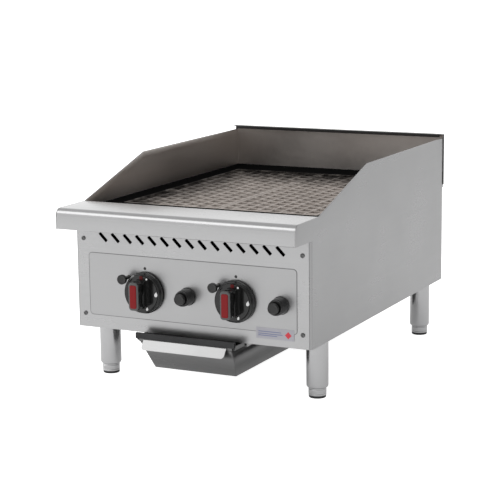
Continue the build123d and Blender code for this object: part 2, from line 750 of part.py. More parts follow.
# ---- legs ----
def leg(x, y):
    """A tube with a closed top, and a threaded plug at the bottom for its foot."""
    inside = leg_radius - leg_wall
    z0, z1 = foot_height + gap, leg_height
    tube = rod(leg_radius, (x, y, z0), (x, y, z1))
    tube = fillet(tube.edges().sort_by(Axis.Z)[0], leg_round)
    tube -= rod(inside, (x, y, z0 + leg_plug), (x, y, z1 - leg_cap))
    tube -= rod(stud_radius + running, (x, y, z0 - 1), (x, y, z0 + leg_plug + 1))
    return tube - rod(bolt_radius + gap, (x, y, z1 - leg_cap - 1), (x, y, z1 + 1))


def foot(x, y):
    """The part of a leg that screws in and out: a collar on a threaded stud."""
    collar = rod(foot_radius, (x, y, pad_height), (x, y, foot_height))
    return collar + rod(stud_radius, (x, y, foot_height - 1), (x, y, foot_height + stud_length))


def foot_pad(x, y):
    """The soft pad that stands on the counter."""
    pad = rod(foot_radius - 0.5, (x, y, 0), (x, y, pad_height))
    return fillet(pad.edges().sort_by(Axis.Z)[0], 1)


def leg_bolts():
    """The bolts that hold the legs to the side panels and the floor pan."""
    bolts = []
    for x, y in leg_places.values():
        shank = rod(bolt_radius, (x, y, pan_top - bolt_length), (x, y, pan_top))
        head = extrude(
            Plane(origin=(x, y, pan_top)) * RegularPolygon(bolt_head, 6, major_radius=False),
            amount=bolt_head_height,
        )
        bolts.append(shank + head)
    return Compound(children=[b.solid() for b in bolts])


# ---- drip tray ----
def pan_solid(wall):
    """The pan as a solid block whose every face is moved in by wall."""
    back_low = tray_y1 - tray_slope / 2
    levels = []
    for z, x, y0, y1 in (
        (tray_z, tray_bottom, tray_y0 + tray_slope, back_low),
        (tray_rim_z, tray_top, tray_y0, tray_y1),
    ):
        outline = Rectangle(2 * (x - wall), y1 - y0 - 2 * wall)
        levels.append(Pos(0, (y0 + y1) / 2, z) * outline)
    return loft(Sketch() + levels)


def drip_tray():
    """The pan, its turned-up rim, and the front wall that rises in front of the panel."""
    rim_z1 = tray_rim_z + sheet
    inside = Pos(0, 0, sheet) * pan_solid(sheet)
    pan = pan_solid(0) - inside
    span = (tray_y0 + sheet + 3, tray_y1)
    for side in (-1, 1):
        edge = side * (tray_top + rim_width)
        pan += block((side * (tray_top - sheet), edge), span, (tray_rim_z, rim_z1))
        pan += block((edge, edge - side * sheet), span, (tray_rim_z, tray_rim_z + rim_height))
    x, low = (-tray_top, tray_top), tray_rim_z - 1
    pan += block(x, (tray_y1 - sheet, tray_y1), (low, tray_rim_z + rim_height))
    return pan + block(x, (tray_y0, tray_y0 + sheet), (low, tray_rim_z + wall_rise))


def tray_pull_lip():
    """The bright finger pull, fastened to the tray's front wall under the grip bar."""
    top = tray_rim_z + wall_rise
    turn = floor_z + grip_bar_rise - grip_bar_height - 0.8
    points = [(tray_y0, top), (tray_y0, turn), (tray_y0 - lip_out, turn - lip_drop)]
    lip = across(folded(points, [small_fold], Side.RIGHT), lip_half)
    ends = lip.edges().filter_by(lambda e: e.length < 2 * sheet and abs(e.center().X) > lip_half - 0.1)
    return fillet(ends.sort_by(Axis.Z)[:2], lip_corner)


def tray_grip_bar():
    """The black channel pushed over the top edge of the tray's front wall and pull lip."""
    z1 = floor_z + grip_bar_rise
    y = (tray_y0 - sheet - grip_bar_wall, tray_y0 + sheet + grip_bar_wall)
    bar = block((-grip_bar_half, grip_bar_half), y, (z1 - grip_bar_height, z1))
    bar = fillet(bar.edges().filter_by(Axis.X), 0.8)
    slot_z = (z1 - grip_bar_height - 1, tray_rim_z + wall_rise)
    return bar - block((-tray_top, tray_top), (tray_y0 - sheet, tray_y0 + sheet), slot_z)


def tray_rails():
    """The two angle rails under the floor pan that carry the tray's rim."""
    rails = []
    web = tray_top + rim_width + rail_gap
    low = tray_rim_z - gap - sheet
    y = (front_y + panel_flange + rail_end, tray_y1 + rail_end)
    for side in (-1, 1):
        rail = block((side * web, side * (web + sheet)), y, (low, pan_z))
        rail += block((side * (web - rail_lip), side * (web + sheet)), y, (low, low + sheet))
        rail += block((side * web, side * (web + rail_foot)), y, (pan_z - sheet, pan_z))
        rails.append(rail)
    return Compound(children=[r.solid() for r in rails])


# ---- the whole assembly ----
add_pair("side_panel", side_panel())
add_pair("splash_guard", side_guard())
add_pair("firebox_wall", firebox_side())
add_pair("grate", grate())
parts["rear_panel"] = rear_panel()
parts["floor_pan"] = floor_pan()
parts["front_panel"] = front_panel()
parts["control_overlay"] = control_overlay()
parts["data_plate"] = data_plate()
parts["front_ledge"] = front_ledge()
parts["back_splash_guard"] = back_guard()
parts["panel_screws"] = panel_screws()
parts["firebox_front_wall"] = firebox_front_wall()
parts["firebox_rear_wall"] = firebox_rear_wall()
parts["grate_support_bar"] = grate_support()
parts["gas_manifold"] = gas_manifold()
parts["gas_inlet_fitting"] = gas_inlet()
parts["gas_valves"] = gas_valves()
parts["gas_orifices"] = gas_orifices()
parts["pilot_valves"] = pilot_valves()
parts["pilot_tubes"] = pilot_tubes()
parts["spark_electrodes"] = spark_electrodes()
parts["igniter_housings"] = igniter_housings()
parts["leg_bolts"] = leg_bolts()
parts["drip_tray"] = drip_tray()
parts["tray_pull_lip"] = tray_pull_lip()
parts["tray_grip_bar"] = tray_grip_bar()
parts["tray_rails"] = tray_rails()
for side_name, knob_place in knob_places.items():
    parts[side_name + "_radiant"] = radiant(knob_place)
    parts[side_name + "_burner"] = burner(knob_place)
    parts[side_name + "_air_shutter"] = air_shutter(knob_place)
    parts[side_name + "_valve_stem"] = valve_stem(knob_place)
    parts[side_name + "_knob"] = knob(knob_place)
    parts[side_name + "_knob_insert"] = knob_insert(knob_place)
    parts[side_name + "_igniter_button"] = igniter_button(knob_place + igniter_offset)
    parts[side_name + "_pilot_button"] = pilot_button(knob_place + pilot_offset, knob_z + pilot_rise)
for corner, place in leg_places.items():
    parts[corner + "_leg"] = leg(*place)
    parts[corner + "_foot"] = foot(*place)
    parts[corner + "_foot_pad"] = foot_pad(*place)

os.makedirs("parts", exist_ok=True)
for name, shape in parts.items():
    export_step(shape, "parts/" + name + ".step")
print(len(parts), "parts; controls at y", round(front_y, 2), "back at y", round(back_y, 2))
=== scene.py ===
"""Looks of a counter-top gas charbroiler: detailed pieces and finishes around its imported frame."""

import math

import bmesh
import bpy
import numpy as np
from bpy.props import FloatProperty, FloatVectorProperty, IntProperty, PointerProperty
from mathutils import Matrix, Vector


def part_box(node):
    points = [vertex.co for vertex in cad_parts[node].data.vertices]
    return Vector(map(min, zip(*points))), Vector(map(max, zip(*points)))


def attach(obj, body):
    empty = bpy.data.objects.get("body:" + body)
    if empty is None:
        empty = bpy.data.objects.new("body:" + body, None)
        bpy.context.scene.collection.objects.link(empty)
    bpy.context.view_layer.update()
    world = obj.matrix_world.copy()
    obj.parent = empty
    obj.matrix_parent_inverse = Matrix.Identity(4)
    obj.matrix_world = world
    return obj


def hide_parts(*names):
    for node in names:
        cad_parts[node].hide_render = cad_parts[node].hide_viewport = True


bl_info = {
    "name": "Charbroiler looks",
    "version": (1, 0, 0),
    "blender": (4, 5, 0),
    "location": "View3D > Sidebar > Charbroiler",
    "description": "Builds the visible pieces, finishes and stage of a counter-top charbroiler",
    "category": "Add Mesh",
}

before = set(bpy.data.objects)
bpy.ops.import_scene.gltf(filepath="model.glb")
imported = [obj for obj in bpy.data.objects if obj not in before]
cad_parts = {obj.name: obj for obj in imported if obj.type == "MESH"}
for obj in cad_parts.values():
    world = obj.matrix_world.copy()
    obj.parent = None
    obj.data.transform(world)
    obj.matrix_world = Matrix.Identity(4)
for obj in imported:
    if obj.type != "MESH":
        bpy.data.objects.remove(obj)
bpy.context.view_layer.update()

BODY = "charbroiler_body"
SIDES = {"left": -1, "right": 1}
CORNERS = ("front_left", "front_right", "rear_left", "rear_right")
MM = 0.001
TINY = 1e-6  # doubles closer than this are merged
FINE_RELIEF, CAST_RELIEF = 0.0002, 0.0004  # heights of the finishes' relief


# ---- settings ----
def length(name, description, default):
    """A setting that is a length in metres, given here in millimetres."""
    return FloatProperty(name=name, description=description, default=default * MM, unit="LENGTH", precision=5)


def colour(name, description, *rgb):
    """A setting that is a colour, as linear red, green and blue."""
    return FloatVectorProperty(
        name=name, description=description, default=(*rgb, 1), size=4, min=0, max=1, subtype="COLOR"
    )


class SheetSizes(bpy.types.PropertyGroup):
    """Sizes of the folded sheet pieces."""

    thickness: length("Sheet", "Thickness of every folded panel", 1.2)
    nose_radius: length("Nose radius", "Outside radius of the ledge's nose", 13)
    small_fold: length("Small fold", "Outside radius of the other folds", 2)
    ledge_return: length("Ledge return", "Depth of the ledge's underside behind the front panel's face", 14)
    guard_run: length("Guard slope", "Length of the side guards' sloping edge from front to back", 211)
    guard_hem: length("Guard hem", "Width of the side guards' folded hem", 10)
    rim_depth: length("Rim depth", "Depth of the rear guard's folded rim", 14)
    rear_wrap: length("Rear return", "Depth of the rear guard's returns round the side guards", 5)
    rim_drop: length("Rim lip", "Height of the rim's turned-down lip", 6)
    edge_round: length("Edge rounding", "Rounding of a sheet's cut edges", 0.3)


class GrateSizes(bpy.types.PropertyGroup):
    """Sizes of the two cast grates."""

    columns: IntProperty(name="Columns", description="Columns of openings in one grate", default=8, min=2)
    rows: IntProperty(name="Rows", description="Openings from front to back", default=17, min=2)
    border: length("Border", "Width of the outer bars", 7)
    bar: length("Bar", "Width of the inner bars", 6)
    crown: length("Crown", "Rounding along the bars' upper edges", 1.6)
    flare: length("Flare", "Widening of a cross bar where it meets a long bar", 1.4)
    step: length("Step", "Drop from the long bars to the cross bars", 0.3)


class KnobSizes(bpy.types.PropertyGroup):
    """Sizes of the control knobs."""

    dial_depth: length("Dial depth", "Depth of the skirted dial", 11)
    grip_width: length("Grip width", "Width of the grip across the dial", 20)
    grip_length: length("Grip length", "Length of the grip across the dial", 50)
    pocket_depth: length("Pocket depth", "Depth of the grip's pocket for its insert", 2)
    insert_corner: length("Insert corner", "Corner rounding of the insert and its pocket", 3)
    mark_radius: length("Mark radius", "Distance of the printed marks from the knob's axis", 28.5)
    mark_thick: length("Mark thickness", "Thickness of the printed marks", 0.15)


class TraySizes(bpy.types.PropertyGroup):
    """Sizes of the drip tray, its pull lip and its grip bar."""

    half_bottom: length("Half bottom", "Half the pan's width at its bottom", 80)
    half_top: length("Half top", "Half the pan's width at its rim", 90)
    slope: length("Slope", "How far the pan's front wall leans", 35)
    rim_height: length("Rim height", "Height of the rim's turned-up edge", 7.5)
    wall_rise: length("Wall rise", "Height of the front wall above the rim", 13)
    corner: length("Corner", "Rounding of the pan's folded corners", 3)
    lip_corner: length("Lip corner", "Rounding of the pull lip's lower corners", 6)


class Finishes(bpy.types.PropertyGroup):
    """Base colours of the finishes."""

    steel: colour("Panel steel", "Brushed stainless of the body", 0.43, 0.43, 0.433)
    # The side colour is painted shade: a darker copy of the panel steel for the body's sides, the guards'
    # outer faces and the rear face, which are the same stainless.
    side: colour("Side steel", "Brushed stainless of the body's sides", 0.33, 0.33, 0.333)
    guard: colour("Guard steel", "Inner side of the splash guards, tinted by heat", 0.55, 0.513, 0.487)
    # The rim colour is painted shade: the same stainless, made near black for the hems, the rear rim, its lip
    # and returns, which lie in shade.
    rim: colour("Rim steel", "Hems and rim above the fire, darkened by smoke", 0.045, 0.043, 0.042)
    leg: colour("Leg steel", "Drawn tube of the legs", 0.43, 0.43, 0.435)
    tray: colour("Tray steel", "Duller sheet of the drip tray", 0.15, 0.15, 0.15)
    lip: colour("Lip steel", "Bright pull lip of the drip tray", 0.36, 0.36, 0.36)
    iron: colour("Cast iron", "Seasoned iron of the grates", 0.36, 0.315, 0.285)
    black: colour("Black steel", "Heat-proof black of the firebox", 0.006, 0.006, 0.006)
    burner: colour("Burner steel", "Dull steel of burners and radiants", 0.30, 0.28, 0.26)
    pipe: colour("Pipe", "Plain pipe of the gas train", 0.42, 0.42, 0.42)
    brass: colour("Brass", "Machined brass of valves and jets", 0.62, 0.42, 0.16)
    plastic: colour("Knob plastic", "Black moulded plastic", 0.004, 0.004, 0.004)
    # The lighter plastic is a painted highlight: a grey, rougher copy of the black plastic for the grip's lit
    # front faces.
    satin: colour("Satin plastic", "Worn front faces of the black mouldings", 0.075, 0.075, 0.075)
    red: colour("Red plastic", "Inserts of the grips", 0.19, 0.006, 0.008)
    rubber: colour("Rubber", "Foot pads and grip bar", 0.011, 0.011, 0.012)
    film: colour("Overlay film", "Printed sheet behind the knobs", 0.41, 0.41, 0.413)
    line: colour("Overlay line", "Printed line round the overlay", 0.16, 0.16, 0.16)
    paper: colour("Plate film", "Plain plate at the lower right", 0.36, 0.355, 0.39)
    white: colour("White print", "Marks on the dials", 0.75, 0.75, 0.75)
    ceramic: colour("Ceramic", "Spark electrodes' ceramic", 0.72, 0.70, 0.64)


class StageSettings(bpy.types.PropertyGroup):
    """Floor, light and camera."""

    floor_radius: FloatProperty(name="Floor", description="Radius of the floor", default=40, unit="LENGTH")
    camera_at: FloatVectorProperty(
        name="Camera", description="Place of the camera", default=(1.3115, -2.7196, 0.7767), unit="LENGTH"
    )
    camera_to: FloatVectorProperty(
        name="Target",
        description="Point that the camera looks at",
        default=(-0.0326, -0.0054, 0.1981),
        unit="LENGTH",
    )
    camera_roll: FloatProperty(
        name="Roll",
        description="Turn of the camera about its view",
        default=math.radians(-0.68),
        unit="ROTATION",
    )
    lens: FloatProperty(name="Lens", description="Focal length in millimetres", default=118.43, min=10)


# ---- places in the frame ----
def corners(node):
    """The lowest and highest corner of a CAD node, as two arrays."""
    low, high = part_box(node)
    return np.array(low), np.array(high)


def centre(node):
    """The middle of a CAD node's box."""
    return sum(corners(node)) / 2


# ---- shapes: arrays of points ----
def filleted(points, radii, steps=8):
    """
    A line through 2-D points whose inner corners are arcs of the given radii, and its normals to the left.
    An arc starts radius * tan(turn / 2) before its corner. Its normal turns evenly, and a point on it is
    the arc's centre less the radius times that normal, on the side to which the line turns.
    """
    points = np.asarray(points, float)
    ways = np.diff(points, axis=0)
    ways /= np.linalg.norm(ways, axis=1)[:, None]
    normals = np.stack([-ways[:, 1], ways[:, 0]], axis=1)
    line, sides = [points[:1]], [normals[:1]]
    for i, radius in enumerate(radii):
        turn = math.atan2(ways[i] @ normals[i + 1] * -1, ways[i] @ ways[i + 1])
        start = points[i + 1] - ways[i] * radius * math.tan(abs(turn) / 2)
        angle = np.linspace(0, turn, steps if radius else 1)[:, None]
        normal = np.cos(angle) * normals[i] - np.sin(angle) * ways[i]
        inward = math.copysign(radius, turn)
        line.append(start + inward * normals[i] - inward * normal)
        sides.append(normal)
    line.append(points[-1:])
    sides.append(normals[-1:])
    return np.concatenate(line), np.concatenate(sides)


def sheet_section(points, radii, thickness, steps=8):
    """A folded sheet's closed outline: its fold line, and back along the line moved left by the thickness."""
    line, sides = filleted(points, radii, steps)
    return np.concatenate([line, (line + sides * thickness)[::-1]])


def rounded_loop(low, high, radius, steps=5):
    """A rectangle with round corners: each corner's points are its centre plus the radius at even angles."""
    quarter = np.linspace(0, np.pi / 2, steps)
    angle = (np.arange(4)[:, None] * np.pi / 2 + quarter).ravel()
    far = np.repeat([(1, 1), (0, 1), (0, 0), (1, 0)], steps, axis=0)
    middle = np.where(far, np.asarray(high) - radius, np.asarray(low) + radius)
    return middle + radius * np.stack([np.cos(angle), np.sin(angle)], axis=1)


def carried(section, axis, start, end):
    """A 2-D section set at both ends of a straight run along X, Y or Z, as two loops of points."""
    return stacked(np.stack([section, section]), axis, [start, end])


def stacked(sections, axis, places):
    """2-D sections, each set at its own place along X, Y or Z."""
    sections = np.asarray(sections, float)
    loops = np.empty((*sections.shape[:2], 3))
    number = "XYZ".index(axis)
    loops[..., number] = np.asarray(places, float)[:, None]
    loops[..., [i for i in range(3) if i != number]] = sections
    return loops


def turned(profile, axis, middle, steps=48):
    """
    A profile of (radius, place along the axis) turned round: each of its points gives a circle,
    middle + radius * (cos a, sin a), at its place. The axis is Y or Z.
    """
    radius, along = np.asarray(profile, float).T
    angle = np.linspace(0, 2 * np.pi, steps, endpoint=False)
    circle = np.stack([np.cos(angle), np.sin(angle)], axis=1)
    return stacked(np.asarray(middle) + radius[:, None, None] * circle, axis, along)


def eased(points, radius, steps=4):
    """A turned profile whose inner corners are rounded by the same small radius."""
    return filleted(points, [radius] * (len(points) - 2), steps)[0]


def block(low, high, corner=0.0):
    """A box as two loops along X."""
    return carried(rounded_loop(low[1:], high[1:], corner or TINY, 4 if corner else 1), "X", low[0], high[0])


def skin(loops, finish=0, closed=False, end=None):
    """
    The shell over a stack of closed loops: quads join each loop to the next, and the two ends are
    filled unless the stack is closed. finish is a material number, or one for each point of a loop.
    """
    count, size = loops.shape[:2]
    row, column = np.meshgrid(np.arange(count if closed else count - 1), np.arange(size), indexing="ij")
    above, beside = (row + 1) % count, (column + 1) % size
    this, following = row * size, above * size
    quads = np.stack([this + column, following + column, following + beside, this + beside], axis=-1)
    numbers = np.broadcast_to(finish, size)[column]
    faces, numbers = quads.reshape(-1, 4).tolist(), numbers.ravel().tolist()
    if not closed:
        last = (count - 1) * size
        faces += [list(range(size)), list(range(last, last + size))]
        numbers += [numbers[0] if end is None else end] * 2
    return loops.reshape(-1, 3), faces, numbers


def repeated(shell, moves):
    """Copies of a shell, one for each move."""
    points, faces, numbers = shell
    moves = np.asarray(moves, float)
    offsets = np.arange(len(moves)) * len(points)
    copies = (points[None] + moves[:, None]).reshape(-1, 3)
    return copies, [[i + o for i in face] for o in offsets.tolist() for face in faces], numbers * len(moves)


def mirrored(shell):
    """A shell on the other side of the middle plane."""
    points, faces, numbers = shell
    return points * (-1, 1, 1), faces, numbers


def make_piece(name, shells, materials, body, replaced=(), rounding=0.0, crease=35):
    """
    One piece from closed shells. Doubles are merged, so that poles close, and faces point outwards.
    A rounding adds a bevel to the sharp edges.
    """
    points, faces, numbers, start = [], [], [], 0
    for shell_points, shell_faces, shell_numbers in shells:
        points.append(shell_points)
        faces += [[i + start for i in face] for face in shell_faces]
        numbers += shell_numbers
        start += len(shell_points)
    mesh = bpy.data.meshes.new(name)
    mesh.from_pydata(np.concatenate(points).tolist(), [], faces)
    mesh.polygons.foreach_set("material_index", np.array(numbers, np.int32))
    work = bmesh.new()
    work.from_mesh(mesh)
    bmesh.ops.remove_doubles(work, verts=work.verts, dist=TINY)
    bmesh.ops.recalc_face_normals(work, faces=work.faces)
    work.to_mesh(mesh)
    work.free()
    mesh.shade_smooth()
    mesh.set_sharp_from_angle(angle=math.radians(crease))
    for material in materials:
        mesh.materials.append(material)
    piece = bpy.data.objects.new(name, mesh)
    bpy.context.scene.collection.objects.link(piece)
    if rounding:
        bevel = piece.modifiers.new("edge rounding", "BEVEL")
        bevel.width = rounding
        bevel.segments = 2
        bevel.limit_method = "ANGLE"
        bevel.angle_limit = math.radians(crease)
        bevel.use_clamp_overlap = True
        bevel.harden_normals = True
    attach(piece, body)
    if replaced:
        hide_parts(*replaced)
    return piece


def dress(material, *nodes):
    """Gives CAD nodes a finish."""
    for node in nodes:
        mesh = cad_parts[node].data
        mesh.materials.clear()
        mesh.materials.append(material)


# ---- finishes ----
def add_node(tree, kind, values=None, **settings):
    """A node with its settings, whose named inputs take a value or another node's output."""
    made = tree.nodes.new(kind)
    for key, value in settings.items():
        setattr(made, key, value)
    for key, value in (values or {}).items():
        if isinstance(value, bpy.types.NodeSocket):
            tree.links.new(value, made.inputs[key])
        else:
            made.inputs[key].default_value = value
    return made


def effect(name, inputs, outputs):
    """A new node group with the given inputs, and value outputs."""
    tree = bpy.data.node_groups.new(name, "ShaderNodeTree")
    for label, kind, default in inputs:
        socket = tree.interface.new_socket(label, in_out="INPUT", socket_type=kind)
        socket.default_value = default
    for label in outputs:
        tree.interface.new_socket(label, in_out="OUTPUT", socket_type="NodeSocketFloat")
    return tree, tree.nodes.new("NodeGroupInput").outputs, tree.nodes.new("NodeGroupOutput").inputs


def brushing_effect():
    """Brushed grain: noise stretched along the brushing, and fainter, longer streaks."""
    tree, given, result = effect(
        "brushing", [("Fineness", "NodeSocketVector", (40, 40, 900))], ["Grain", "Streak"]
    )
    place = add_node(tree, "ShaderNodeTexCoord").outputs["Object"]
    fine = add_node(tree, "ShaderNodeVectorMath", {0: place, 1: given["Fineness"]}, operation="MULTIPLY")
    noise = {"Vector": fine.outputs[0], "Scale": 1, "Detail": 4, "Roughness": 0.6}
    grain = add_node(tree, "ShaderNodeTexNoise", noise)
    wide = add_node(tree, "ShaderNodeVectorMath", {0: fine.outputs[0], "Scale": 0.12}, operation="SCALE")
    streak = add_node(tree, "ShaderNodeTexNoise", {"Vector": wide.outputs[0], "Scale": 1, "Detail": 2})
    tree.links.new(grain.outputs["Fac"], result["Grain"])
    tree.links.new(streak.outputs["Fac"], result["Streak"])
    return tree


def handling_effect():
    """Handling marks: soft clouds where the surface was wiped, and small darker touches."""
    tree, given, result = effect("handling", [("Size", "NodeSocketFloat", 0.12)], ["Cloud", "Touch"])
    place = add_node(tree, "ShaderNodeTexCoord").outputs["Object"]
    scale = add_node(tree, "ShaderNodeMath", {0: 1.0, 1: given["Size"]}, operation="DIVIDE").outputs[0]
    noise = {"Vector": place, "Scale": scale, "Detail": 3, "Roughness": 0.5}
    cloud = add_node(tree, "ShaderNodeTexNoise", noise)
    finer = add_node(tree, "ShaderNodeMath", {0: scale, 1: 6.0}, operation="MULTIPLY").outputs[0]
    spots = add_node(tree, "ShaderNodeTexNoise", {"Vector": place, "Scale": finer, "Detail": 2})
    touch = add_node(
        tree, "ShaderNodeMapRange", {"Value": spots.outputs["Fac"], "From Min": 0.58, "From Max": 0.72}
    )
    tree.links.new(cloud.outputs["Fac"], result["Cloud"])
    tree.links.new(touch.outputs[0], result["Touch"])
    return tree


def casting_effect():
    """Sand-cast or moulded surface: rounded lumps and fine pits."""
    tree, given, result = effect("casting", [("Scale", "NodeSocketFloat", 400.0)], ["Height", "Pit"])
    place = add_node(tree, "ShaderNodeTexCoord").outputs["Object"]
    lumps = add_node(tree, "ShaderNodeTexNoise", {"Vector": place, "Scale": given["Scale"], "Detail": 3})
    cells = add_node(tree, "ShaderNodeTexVoronoi", {"Vector": place, "Scale": given["Scale"]})
    from_edge = {"Value": cells.outputs["Distance"], "From Min": 0.05, "From Max": 0.4}
    pit = add_node(tree, "ShaderNodeMapRange", from_edge)
    height = add_node(tree, "ShaderNodeMath", {0: lumps.outputs["Fac"], 1: pit.outputs[0]}, operation="ADD")
    tree.links.new(height.outputs[0], result["Height"])
    tree.links.new(pit.outputs[0], result["Pit"])
    return tree


def use_effect(tree, name, **values):
    """The outputs of a shared effect, placed in a material with its own values."""
    makers = {"brushing": brushing_effect, "handling": handling_effect, "casting": casting_effect}
    group = bpy.data.node_groups.get(name) or makers[name]()
    return add_node(tree, "ShaderNodeGroup", values, node_tree=group).outputs


def shades(tree, factor, dark, light):
    """A colour that goes from dark to light as the factor goes from 0 to 1."""
    mix = add_node(tree, "ShaderNodeMix", data_type="RGBA")
    tree.links.new(factor, mix.inputs["Factor"])
    mix.inputs[6].default_value = dark
    mix.inputs[7].default_value = light
    return mix.outputs[2]


def span(tree, value, low, high, start=0.0, end=1.0):
    """A value mapped from start..end to low..high, and held at those ends."""
    values = {"Value": value, "From Min": start, "From Max": end, "To Min": low, "To Max": high}
    return add_node(tree, "ShaderNodeMapRange", values).outputs[0]


def from_noise(tree, noise, low, high):
    """A noise, which lies mostly between 0.3 and 0.7, mapped to low..high."""
    return span(tree, noise, low, high, 0.3, 0.7)


def blended(tree, one, other, operation="ADD"):
    """Two values added, multiplied or otherwise joined."""
    return add_node(tree, "ShaderNodeMath", {0: one, 1: other}, operation=operation).outputs[0]


def relief(tree, height, strength, distance=FINE_RELIEF):
    """The normals of a fine relief."""
    values = {"Height": height, "Strength": strength, "Distance": distance}
    return add_node(tree, "ShaderNodeBump", values).outputs[0]


def tone(rgba, share):
    """A colour made darker or lighter by a share."""
    return (*(min(1.0, c * share) for c in tuple(rgba)[:3]), 1)


def new_finish(name):
    """An empty material: its node tree, and its Principled shader."""
    material = bpy.data.materials.new(name)
    material.use_nodes = True
    return material, material.node_tree, material.node_tree.nodes["Principled BSDF"]


def wire(tree, shader, **sockets):
    """Puts values or outputs into the shader's sockets; an underscore stands for a space."""
    for key, value in sockets.items():
        socket = shader.inputs[key.replace("_", " ")]
        if isinstance(value, bpy.types.NodeSocket):
            tree.links.new(value, socket)
        else:
            socket.default_value = value


def steel_finish(name, base, fineness, rough=(0.26, 0.34), contrast=0.03, marks=0.01, depth=0.03):
    """Brushed stainless: grain in its colour, roughness and relief, with wiped clouds and touches."""
    material, tree, shader = new_finish(name)
    brushed = use_effect(tree, "brushing", Fineness=fineness)
    handled = use_effect(tree, "handling")
    lines = blended(tree, brushed["Grain"], brushed["Streak"])
    dark, light = tone(base, 1 - contrast), tone(base, 1 + contrast)
    base_colour = shades(tree, span(tree, lines, 0, 1, 0.6, 1.4), dark, light)
    wiped = from_noise(tree, handled["Cloud"], *rough)
    touched = span(tree, handled["Touch"], 0, marks)
    worn = blended(tree, wiped, touched)
    roughness = blended(tree, worn, from_noise(tree, brushed["Streak"], -0.02, 0.02))
    normal = relief(tree, brushed["Grain"], depth)
    wire(tree, shader, Base_Color=base_colour, Metallic=1.0, Roughness=roughness, Normal=normal)
    return material


def plain_finish(name, base, rough, metallic=0.0, scale=900.0, depth=0.15, contrast=0.12, ior=1.5, gloss=0.5):
    """A moulded, cast or painted surface: pits in its relief, and uneven gloss and tone."""
    material, tree, shader = new_finish(name)
    cast = use_effect(tree, "casting", Scale=scale)
    handled = use_effect(tree, "handling", Size=0.05)
    uneven = blended(tree, handled["Cloud"], cast["Pit"], "MULTIPLY")
    base_colour = shades(tree, uneven, tone(base, 1 - contrast), tone(base, 1 + contrast))
    roughness = from_noise(tree, handled["Cloud"], rough * 0.8, rough * 1.2)
    normal = relief(tree, cast["Height"], depth)
    wire(tree, shader, Base_Color=base_colour, Metallic=metallic, Roughness=roughness, Normal=normal)
    wire(tree, shader, IOR=ior, Specular_IOR_Level=gloss)
    return material


def iron_finish(name, base):
    """
    Seasoned cast iron: an uneven brown crust, bare in the middle and the front. Painted shade turns it
    black along the rear and the left edge, beside the guards, and dulls its gloss there.
    """
    material, tree, shader = new_finish(name)
    cast = use_effect(tree, "casting", Scale=260.0)
    handled = use_effect(tree, "handling", Size=0.03)
    place = add_node(tree, "ShaderNodeTexCoord").outputs["Object"]
    x, y, _ = add_node(tree, "ShaderNodeSeparateXYZ", {0: place}).outputs
    # painted shade: the iron darkens towards the rear and the left, where the guards shade it
    painted_wall_shade = blended(tree, span(tree, y, 0, 1, 0.08, 0.24), span(tree, x, 1, 0, -0.19, -0.07), "MAXIMUM")
    wall_shade_and_patches = span(tree, blended(tree, painted_wall_shade, from_noise(tree, handled["Cloud"], -0.2, 0.2)), 0, 1)
    base_colour = shades(tree, wall_shade_and_patches, tuple(base), tone(base, 0.05))
    roughness = blended(tree, from_noise(tree, handled["Cloud"], 0.5, 0.66), span(tree, cast["Pit"], 0.1, 0))
    # the painted shade, with random patches, also lowers the specular level
    gloss = span(tree, wall_shade_and_patches, 0.4, 0.02)
    normal = relief(tree, cast["Height"], 0.2, CAST_RELIEF)
    wire(tree, shader, Base_Color=base_colour, Roughness=roughness, Specular_IOR_Level=gloss, Normal=normal)
    return material


def overlay_finish(name, base, line):
    """
    Satin film with a line round it. The distance from the film's edge is that of a rounded rectangle:
    the length of the part of |place - middle| - half + corner above 0, less the corner's radius.
    """
    material, tree, shader = new_finish(name)
    low, high = corners("control_overlay")
    corner, width = 7 * MM, 0.9 * MM
    middle, half = (low + high) / 2, (high - low) / 2
    place = add_node(tree, "ShaderNodeTexCoord").outputs["Object"]
    from_middle = add_node(tree, "ShaderNodeVectorMath", {0: place, 1: tuple(middle)}, operation="SUBTRACT")
    positive = add_node(tree, "ShaderNodeVectorMath", {0: from_middle.outputs[0]}, operation="ABSOLUTE")
    core = (half[0] - corner, 1.0, half[2] - corner)
    beyond = add_node(tree, "ShaderNodeVectorMath", {0: positive.outputs[0], 1: core}, operation="SUBTRACT")
    above_zero = {0: beyond.outputs[0], 1: (0, 0, 0)}
    outside = add_node(tree, "ShaderNodeVectorMath", above_zero, operation="MAXIMUM")
    distance = add_node(tree, "ShaderNodeVectorMath", {0: outside.outputs[0]}, operation="LENGTH")
    reach = distance.outputs["Value"]
    printed = span(tree, reach, 0, 1, corner - width - 0.3 * MM, corner - width)
    handled = use_effect(tree, "handling", Size=0.2)
    brushed = use_effect(tree, "brushing", Fineness=(30, 30, 1100))
    film = shades(tree, brushed["Grain"], tone(base, 0.97), tone(base, 1.03))
    mix = add_node(tree, "ShaderNodeMix", {"Factor": printed}, data_type="RGBA")
    tree.links.new(film, mix.inputs[6])
    mix.inputs[7].default_value = tuple(line)
    roughness = from_noise(tree, handled["Cloud"], 0.30, 0.38)
    metal = span(tree, printed, 1, 0)
    normal = relief(tree, brushed["Grain"], 0.02)
    wire(tree, shader, Base_Color=mix.outputs[2], Metallic=metal, Roughness=roughness, Normal=normal)
    return material


def print_finish(name, base):
    """Ink or film that lies on another surface."""
    return plain_finish(name, base, rough=0.45, scale=2500.0, depth=0.03, contrast=0.05)


